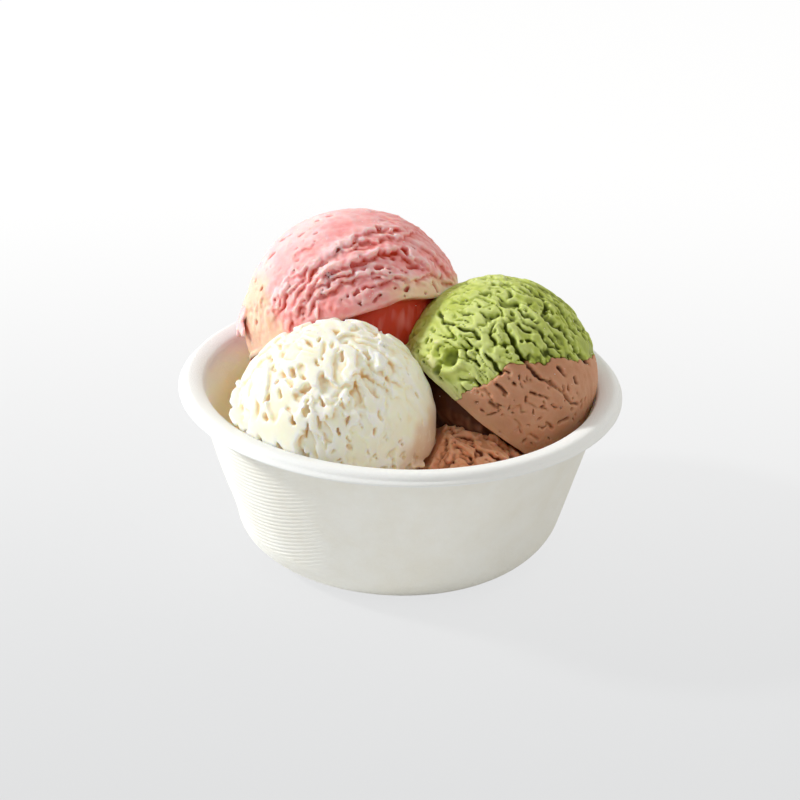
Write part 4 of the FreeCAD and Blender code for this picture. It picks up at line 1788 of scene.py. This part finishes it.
@dataclass
class PairScoop(Scoop):
    """Right scoop of two flavours, cracked on top, dragged smooth below."""

    name: str = "pair_ball"
    centre: Spot = PAIR_CENTRE
    axis: Spot = PAIR_AXIS
    radius: float = 29.2
    lip_drop: float = 10.9
    depth: float = 12.5
    taper: float = 0.76
    pitch: float = 0.397
    finish: CreamFinish = PISTACHIO
    slot: str = "pistachio"
    node: str = "pistachio_half"
    flats: tuple[Flat, ...] = (Flat(*PAIR_VANILLA),)
    seed: int = 6

    FOCUS = (-0.66, -0.55, 0.50)
    SEAM = (3.2, 0.12, 10.0, -5.0, 3.0, 0.7, 13.0)
    GREEN_CRACKS = (
        Stroke(((0.06, 0.43), (0.10, 0.34), (0.16, 0.23), (0.26, 0.11), (0.32, 0.01), (0.44, -0.04),
                (0.53, -0.10)), 1.0, 2.6),
        Stroke(((-0.43, 0.46), (-0.38, 0.43), (-0.28, 0.43), (-0.23, 0.35)), 1.2, 2.0),
        Stroke(((-0.40, 0.27), (-0.34, 0.17), (-0.23, 0.10)), 0.8, 2.0),
        Stroke(((-0.18, 0.21), (-0.08, 0.11), (-0.01, 0.02)), 0.8, 2.2),
        Stroke(((0.16, 0.65), (0.22, 0.59), (0.31, 0.57)), 0.8, 1.8),
        Stroke(((0.14, 0.51), (0.21, 0.44), (0.26, 0.43)), 0.7, 1.7),
        Stroke(((-0.01, 0.71), (0.06, 0.69), (0.13, 0.71)), 1.9, 1.5),
        Stroke(((0.44, 0.70), (0.40, 0.60), (0.52, 0.50), (0.60, 0.46)), 1.1, 1.7),
        Stroke(((0.58, 0.50), (0.67, 0.37), (0.75, 0.24), (0.87, 0.14)), 0.8, 1.8),
        Stroke(((0.45, 0.40), (0.55, 0.28)), 0.6, 1.4),
        Stroke(((-0.62, 0.59), (-0.59, 0.52), (-0.49, 0.49)), 0.8, 1.4),
        Stroke(((-0.10, 0.50), (-0.14, 0.40), (-0.06, 0.33)), 0.8, 1.6),
        Stroke(((-0.35, 0.33), (-0.28, 0.27), (-0.24, 0.22)), 0.6, 1.4),
        Stroke(((-0.26, -0.05), (-0.20, -0.12), (-0.10, -0.20)), 0.6, 1.6),
        Stroke(((-0.05, 0.60), (-0.14, 0.56), (-0.22, 0.60)), 0.6, 1.3),
        Stroke(((0.20, 0.90), (0.32, 0.84), (0.42, 0.76)), 0.7, 1.2),
        Stroke(((0.55, 0.72), (0.66, 0.58), (0.74, 0.44)), 0.7, 1.4),
        Stroke(((0.62, 0.74), (0.76, 0.55), (0.84, 0.38)), 0.5, 1.0),
    )
    COCOA_CRACKS = (
        Stroke(((-0.05, -0.08), (0.05, -0.17)), 0.9, 1.7),
        Stroke(((-0.11, -0.26), (-0.03, -0.31)), 0.7, 1.5),
        Stroke(((0.28, -0.15), (0.33, -0.17)), 0.6, 1.2),
        Stroke(((0.37, -0.18), (0.45, -0.21)), 0.6, 1.2),
        Stroke(((0.57, -0.12), (0.61, -0.15)), 0.6, 1.2),
        Stroke(((0.63, -0.17), (0.70, -0.25), (0.76, -0.25)), 0.6, 1.3),
        Stroke(((0.45, -0.44), (0.51, -0.48)), 0.7, 1.2),
        Stroke(((0.57, -0.44), (0.67, -0.39)), 0.6, 1.2),
        Stroke(((0.72, 0.01), (0.75, -0.05)), 0.6, 1.2),
        Stroke(((0.10, -0.32), (0.18, -0.28), (0.20, -0.35)), 0.4, 0.7),
        Stroke(((0.27, -0.26), (0.35, -0.30)), 0.4, 0.9),
        Stroke(((0.30, -0.56), (0.38, -0.60)), 0.45, 0.9),
        Stroke(((0.07, 0.02), (0.02, 0.05), (-0.02, 0.01)), 0.6, 1.4),
        Stroke(((0.14, -0.42), (0.19, -0.47), (0.16, -0.52)), 0.35, 0.7),
        Stroke(((0.55, 0.10), (0.62, 0.02)), 0.6, 1.3),
    )

    def skirt_reach(self, p: np.ndarray) -> np.ndarray:
        """Thin skirt along the lip."""
        return 0.25 + 0.7 * NOISE.torn(p, 8.0, 3, 7.0)

    def skirt(self, p: np.ndarray) -> np.ndarray:
        """Thin pressed lip that follows the lip plane closely.

        Args:
            p: Points in eater axes, millimetres.

        Returns:
            Signed distance per point, millimetres.
        """
        above = self.over_lip(p)
        flat = np.abs(above - 0.1 - 0.7 * NOISE.at(p, 12.0, 5.0)) - 0.42
        lip = np.maximum(flat, self.from_pole(p) - self.lip_radius - self.skirt_reach(p))
        u, v, w = (p[:, k] / self.radius for k in range(3))
        sheet = np.abs(np.linalg.norm(p, axis=1) - self.radius - 0.9 - 0.5 * NOISE.at(p, 5.0, 23.0)) - 0.55
        ragged = 0.06 * NOISE.torn(p, 4.0, 3, 24.0)
        window = np.maximum(np.maximum(np.abs(v - 0.50) - 0.24, u + 0.55), np.abs(w + 0.12) - 0.16) + ragged
        return np.minimum(lip, np.maximum(sheet, window * self.radius))

    def seam(self, p: np.ndarray) -> np.ndarray:
        """Height over the seam between the flavours, millimetres.

        Args:
            p: Points in eater axes, millimetres.

        Returns:
            Height per point, millimetres.
        """
        rise, tilt, drop, at, width, wave, length = self.SEAM
        x = p[:, 0]
        fall = drop / (1.0 + np.exp((x - at) / width))
        level = rise + tilt * x + wave * np.sin(2.0 * math.pi * x / length) - fall
        ragged = 1.2 * NOISE.torn(p, 5.0, 3, 51.0) + 0.9 * NOISE.at(p, 1.7, 50.0)
        return p[:, 1] - level + ragged - 14.0 * smooth(-0.4, -1.6, self.over_lip(p))

    def relief(self, p: np.ndarray) -> np.ndarray:
        """Deep fanning cracks above the seam, faint drag lines below.

        Args:
            p: Points in eater axes, millimetres.

        Returns:
            Height per point, millimetres.
        """
        s, deep = self.on_ball(p)
        u = s[:, 0] / self.radius
        v = s[:, 1] / self.radius
        out, around = self.rings(s, self.FOCUS)
        warp = 0.7 * NOISE.at(s, 5.0, 52.0) + 0.45 * NOISE.at(s, 2.2, 53.0)
        flow = np.stack([out + warp, around + 0.5 * warp, s[:, 2] * 0.3], axis=1).astype(np.float32)
        total = 0.45 * NOISE.at(s, 13.0, 54.0)
        green = smooth(-0.6, 0.6, self.seam(s))
        heart = smooth(0.95, 0.35, np.hypot(u + 0.05, (v - 0.3) * 1.1))
        calm = smooth(-0.25, -0.7, u) * smooth(0.35, 0.55, v)
        ragged = 0.09 * NOISE.at(s, 1.1, 55.0)
        for wave, depth, width, cover, shift in (((3.2, 9.0, 6.0), 1.5, 0.15, 0.05, 56.0),
                                                 ((2.1, 5.0, 4.0), 0.9, 0.15, 0.0, 57.0)):
            crack = np.abs(NOISE.at(flow, wave, shift) + ragged)
            gate = smooth(-0.15, 0.2, NOISE.at(s, 6.0, shift + 5.0) + cover)
            total = total - (depth * smooth(width, 0.0, crack) * gate * green * (0.5 + 0.5 * heart)
                             * (1.0 - 0.8 * calm))
        crumb = NOISE.at(s, 2.3, 60.0) + 0.5 * NOISE.at(s, 1.2, 63.0)
        total = total + 0.26 * crumb * green * (0.35 + 0.65 * heart) * (1.0 - 0.5 * calm)
        plate = smooth(-0.08, 0.08, NOISE.at(flow, (3.6, 6.5, 5.0), 61.0))
        total = total + 0.5 * (plate - 0.5) * green * (1.0 - 0.8 * calm)
        lines = NOISE.at(flow, (1.6, 30.0, 8.0), 62.0)
        total = total + (0.10 * lines + 0.05 * crumb) * (1.0 - green)
        total = total - self.cracks(s, self.GREEN_CRACKS, 0.55) * (0.25 + 0.75 * np.maximum(green, 0.4))
        total = total - self.cracks(s, self.COCOA_CRACKS, 0.25)
        rim = np.hypot((u + 0.53) * self.radius, (v - 0.17) * self.radius)
        total = total + 0.8 * np.exp(-((rim - 4.3) / 1.0) ** 2) * (s[:, 2] > 0.0)
        return total.astype(np.float32)

    def holes(self) -> list[Hole]:
        """Thumb-like dimple, green pits, and slits in the brown half.

        Returns:
            The holes.
        """
        rng = np.random.default_rng(self.seed)
        made = [self.surface_hole(-0.50, 0.16, False, 0.9, (3.0, 2.6, 3.2), 0.1),
                self.surface_hole(-0.62, 0.03, False, 0.6, (1.8, 1.3, 1.2), 0.0)]
        while len(made) < 60:
            u, v = rng.uniform(-0.95, 0.95, 2)
            if u * u + v * v > 0.9 or v < 0.15 + 0.1 * u or (u < -0.35 and v > 0.45):
                continue
            size = rng.uniform(0.3, 0.65)
            slant = math.atan2(-(u + 1.15), v + 0.96)
            made.append(self.surface_hole(u, v, False, slant + rng.normal() * 0.5,
                                          (size * rng.uniform(1.0, 2.2), size, size * 1.8), 0.2))
        count = 0
        while count < 84:
            u, v = rng.uniform(-0.5, 0.95, 2)
            v -= 0.35
            if u * u + v * v > 0.93 or v > 0.0 or v < -0.62 - 0.2 * u:
                continue
            count += 1
            slant = math.atan2(-(u + 1.15), v + 0.96) + rng.normal() * (0.25 if v > -0.25 else 1.0)
            made.append(self.surface_hole(u, v, False, slant, (rng.uniform(0.4, 1.3), rng.uniform(0.22, 0.38),
                                                              rng.uniform(0.8, 1.4)), 0.1))
        return made + self.back_holes(rng, 110)

    def painted_light_and_wetness(self, p: np.ndarray) -> np.ndarray:
        """Painted shade: green darker to the right and under the lip; painted light: brown paler low down.

        Args:
            p: Points in eater axes, millimetres.

        Returns:
            Extra depth per point, millimetres.
        """
        green = smooth(-0.6, 0.6, self.seam(p))
        right = smooth(-0.2, 0.6, p[:, 0] / self.radius)
        low = smooth(-0.25, -0.6, p[:, 1] / self.radius)
        return super().painted_light_and_wetness(p) + 0.38 * right * green - 0.30 * low * (1.0 - green)

    def swirl_and_painted_light(self, p: np.ndarray) -> np.ndarray:
        """Painted light: paler band along the pressed lip, and a smear of paler cream on the left flap.

        Args:
            p: Points in eater axes, millimetres.

        Returns:
            Share from 0 to 1 per point.
        """
        above = self.over_lip(p) / 3.4
        lip = smooth(1.0, 0.1, above) * smooth(-1.2, -0.4, above)
        outer = smooth(self.radius + 0.5, self.radius + 1.0, np.linalg.norm(p, axis=1))
        smear = outer * smooth(-0.5, -0.6, p[:, 0] / self.radius)
        return np.clip(np.maximum(lip, smear), 0.0, 1.0) * 0.8

    def build(self) -> list[bpy.types.Object]:
        """Carve once, part at the seam, and hand over both flavours.

        Returns:
            The finished pieces.
        """
        self.carve()
        seam = self.block.spread(self.seam).reshape(self.block.field_.shape) * SEAM_SLOPE
        return [self.skin("pistachio_scoop_half", PISTACHIO, "pistachio", "pistachio_half", -seam),
                self.skin("cocoa_scoop_half", COCOA, "cocoa", "cocoa_half", seam)]


@dataclass
class ChocolateScoop(Scoop):
    """Low scoop squashed under the others, folded like petals."""

    name: str = "chocolate_ball"
    centre: Spot = CHOCOLATE_CENTRE
    axis: Spot = (0.05, -0.10, 1.0)
    radius: float = 25.2
    lip_drop: float = 0.0
    depth: float = 17.0
    taper: float = 0.9
    pitch: float = 0.42
    finish: CreamFinish = CHOCOLATE
    slot: str = "chocolate"
    node: str = "chocolate_scoop"
    flats: tuple[Flat, ...] = (Flat(*CHOCOLATE_VANILLA),)
    rooms: tuple[Room, ...] = (Room(PAIR_CENTRE, PAIR_AXIS, -12.0, -0.4, 24.6),)
    seed: int = 8

    def relief(self, p: np.ndarray) -> np.ndarray:
        """Folds that run down from the top, each overlapping the next.

        Args:
            p: Points in eater axes, millimetres.

        Returns:
            Height per point, millimetres.
        """
        s, deep = self.on_ball(p)
        out, around = self.rings(s, (-0.15, 0.85, 0.50))
        turn = around / np.maximum(np.sin(out / self.radius), 0.15) / self.radius
        warp = 0.24 * NOISE.at(s, 7.0, 71.0) + 0.16 * NOISE.at(s, 3.0, 72.0) + 0.10 * NOISE.at(s, 1.4, 70.0)
        total = 0.9 * NOISE.at(s, 9.0, 73.0)
        for count, height, shift in ((11.0, 1.9, 0.2), (25.0, 0.8, 0.7)):
            phase = (turn + warp - 0.03 * deep) / (2.0 * math.pi) * count + shift
            step = phase - np.floor(phase)
            tooth = (1.0 - step) * smooth(0.0, 0.12, step)
            strength = np.clip(0.6 + 1.2 * NOISE.at(s, 5.0, 74.0 + count), 0.1, 1.3)
            total = total + height * (tooth - 0.4) * strength
        torn = smooth(-0.05, 0.05, NOISE.at(s, (3.4, 6.5, 3.4), 78.0))
        chips = smooth(-0.06, 0.06, NOISE.at(s, (1.7, 3.0, 1.7), 79.0))
        return (total + 1.1 * (torn - 0.5) + 0.45 * (chips - 0.5)).astype(np.float32)

    def skirt(self, p: np.ndarray) -> np.ndarray:
        """No pressed lip shows on this scoop."""
        return np.full(len(p), 3.0, np.float32)


@dataclass
class IceGrains:
    """Loose ice crystals on the skin, scattered by Geometry Nodes.

    Attributes:
        size: Radius of a grain, millimetres.
        density: Grains per square metre before the mask.
        seed: Fixed seed.
    """

    size: float = 0.16
    density: float = 160000.0
    seed: int = 5
    finish: FrostFinish = FrostFinish()

    def _tree(self) -> bpy.types.NodeTree:
        """Tree that scatters grains on the upper, outer skin.

        Returns:
            The tree.
        """
        tree, given = start_tree("scatter_ice_grains", {
            "Density": "Float", "Size": "Float", "Seed": "Int", "Ice": "Material"})
        place = add_node(tree, "GeometryNodeInputPosition")
        high = add_node(tree, SPLIT, {0: place})
        up = add_node(tree, SPLIT, {0: add_node(tree, "GeometryNodeInputNormal")})
        cloud = add_node(tree, CLOUDS, {"Vector": place, "Scale": 1.0 / (7.0 * MM), "Detail": 2.0})
        many = add_node(tree, RANGE, {"Value": cloud, "From Min": 0.5, "From Max": 0.72})
        facing = add_node(tree, RANGE, {"Value": up.outputs[2], "From Max": 0.6})
        open_ = add_node(tree, RANGE, {
            "Value": high.outputs[2], "From Min": 44.0 * MM, "From Max": 58.0 * MM})
        for share in (facing, open_, given["Density"]):
            many = add_node(tree, MATH, {0: many, 1: share}, operation="MULTIPLY")
        spread = add_node(tree, "GeometryNodeDistributePointsOnFaces", {
            "Mesh": given["Geometry"], "Density": many, "Seed": given["Seed"]}, distribute_method="RANDOM")
        grain = add_node(tree, "GeometryNodeMeshIcoSphere", {"Radius": given["Size"], "Subdivisions": 1})
        scale, turn = (
            add_node(tree, "FunctionNodeRandomValue", {0: low, 1: top, "Seed": given["Seed"]},
                     data_type="FLOAT_VECTOR")
            for low, top in (((0.5, 0.5, 0.4), (1.5, 1.3, 1.0)), ((0.0, 0.0, 0.0), (6.28, 6.28, 6.28))))
        put = add_node(tree, "GeometryNodeInstanceOnPoints", {
            "Points": spread, "Instance": grain, "Scale": scale, "Rotation": turn})
        real = add_node(tree, "GeometryNodeRealizeInstances", {"Geometry": put})
        dressed = add_node(tree, "GeometryNodeSetMaterial", {"Geometry": real, "Material": given["Ice"]})
        add_node(tree, "NodeGroupOutput", {0: dressed})
        return tree

    def build(self, scoops: list[bpy.types.Object]) -> bpy.types.Object:
        """Scatter grains over all scoops as one piece.

        Args:
            scoops: Finished scoops.

        Returns:
            The grains.
        """
        spots: list[np.ndarray] = []
        faces: list[np.ndarray] = []
        start = 0
        for scoop in scoops:
            mesh = scoop.data
            flat = np.zeros(len(mesh.vertices) * 3)
            mesh.vertices.foreach_get("co", flat)
            ring = np.zeros(len(mesh.loops), np.int32)
            mesh.loops.foreach_get("vertex_index", ring)
            spots.append(flat.reshape(-1, 3))
            faces.append(ring.reshape(-1, 4) + start)
            start += len(mesh.vertices)
        base = quad_mesh("grain_ground", np.concatenate(spots), np.concatenate(faces))
        holder = show(base, "grain_ground")
        ice = self.finish.material()
        spread = holder.modifiers.new("scatter", "NODES")
        spread.node_group = self._tree()
        piece = bake_nodes(holder, spread, {"Density": self.density, "Size": self.size * MM,
                                            "Seed": self.seed, "Ice": ice}, "ice_grains")
        hand_over(piece, ice)
        return piece


# ---- studio ------------------------------------------------------------------
@dataclass
class Studio:
    """Pale floor, soft lamps and the eater's view."""

    distance: float = 0.600
    lens: float = 92.0
    shift: tuple[float, float] = (-0.001375, -0.030875)      # share of the frame
    floor_far: str = "#ffffff"
    floor_near: str = "#dcddde"

    def camera(self) -> None:
        """Place the camera."""
        data = bpy.data.cameras.new("view")
        data.lens = self.lens
        data.sensor_width = 36.0
        view = bpy.data.objects.new("view", data)
        bpy.context.scene.collection.objects.link(view)
        forward = -Vector(FRONT.tolist())
        rim = Vector((0.0, 0.0, BOWL.height * MM))
        turn = Matrix((RIGHT.tolist(), UP.tolist(), FRONT.tolist())).transposed().to_4x4()
        roll = Matrix.Rotation(VIEW_ROLL, 4, "Z")
        view.matrix_world = Matrix.Translation(rim - forward * self.distance) @ turn @ roll
        data.shift_x = self.shift[0]
        data.shift_y = self.shift[1]
        bpy.context.scene.camera = view

    def _lamp(self, name: str, spot: Spot, size: float, power: float,
              colour: str) -> None:
        """One square soft lamp aimed at the bowl.

        Args:
            name: Name of the lamp.
            spot: Place of the lamp, metres.
            size: Side, metres.
            power: Watts.
            colour: Hex colour.
        """
        data = bpy.data.lights.new(name, "AREA")
        data.size = size
        data.energy = power
        data.color = srgb(colour)[:3]
        lamp = bpy.data.objects.new(name, data)
        bpy.context.scene.collection.objects.link(lamp)
        lamp.location = spot
        aim = Vector((0.0, 0.0, 0.05)) - Vector(spot)
        lamp.rotation_euler = aim.to_track_quat("-Z", "Y").to_euler()

    def lamps(self) -> None:
        """Key from the upper left, a faint fill and a bright room."""
        self._lamp("key", (-1.10, 0.17, 0.70), 0.15, 13.7, "#ffffff")
        self._lamp("fill", (0.55, -0.75, 0.75), 0.6, 0.85, "#fff4e4")
        self._lamp("rear", (0.90, 0.55, 0.85), 0.6, 2.3, "#fff4e4")
        world = bpy.data.worlds.new("room")
        world.use_nodes = True
        back = world.node_tree.nodes["Background"]
        back.inputs["Color"].default_value = srgb("#fefdfa")
        back.inputs["Strength"].default_value = 0.565
        bpy.context.scene.world = world

    def floor(self) -> None:
        """Large pale floor, lighter towards the back."""
        mesh = bpy.data.meshes.new("floor")
        half = 6.0
        level = -0.0002
        corners = ((-half, -half), (half, -half), (half, half), (-half, half))
        mesh.from_pydata([(x, y, level) for x, y in corners], [], [(0, 1, 2, 3)])
        piece = show(mesh, "floor")
        made, tree, spot = start_material("studio_paper")
        split = add_node(tree, SPLIT, {0: spot})
        by = add_node(tree, RANGE, {"Value": split.outputs[1], "From Min": -0.26, "From Max": 0.36},
                      interpolation_type="SMOOTHSTEP")
        tint = add_node(tree, MIX, {0: by, 6: srgb(self.floor_near), 7: srgb(self.floor_far)},
                        data_type="RGBA")
        paper = add_node(tree, "ShaderNodeBsdfDiffuse", {"Color": tint})
        glow = add_node(tree, "ShaderNodeEmission", {"Color": tint, "Strength": 1.0})
        path = add_node(tree, "ShaderNodeLightPath")
        seen = add_node(tree, MATH, {0: path.outputs["Is Camera Ray"], 1: 0.9}, operation="MULTIPLY")
        mix = add_node(tree, "ShaderNodeMixShader", {0: seen, 1: paper, 2: glow})
        add_node(tree, OUTPUT, {"Surface": mix})
        mesh.materials.append(made)

    def build(self) -> None:
        """Set up the whole studio."""
        self.camera()
        self.lamps()
        self.floor()
        bpy.context.scene.view_settings.view_transform = "Standard"


def main() -> None:
    """Build every piece in order."""
    logging.basicConfig(level=logging.INFO, format="%(name)s: %(message)s")
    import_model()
    BOWL.build()
    scoops: list[bpy.types.Object] = []
    for kind in (StrawberryScoop, VanillaScoop, PairScoop, ChocolateScoop):
        scoops += kind().build()
    IceGrains().build(scoops)
    Studio().build()


if __name__ == "__main__":
    main()
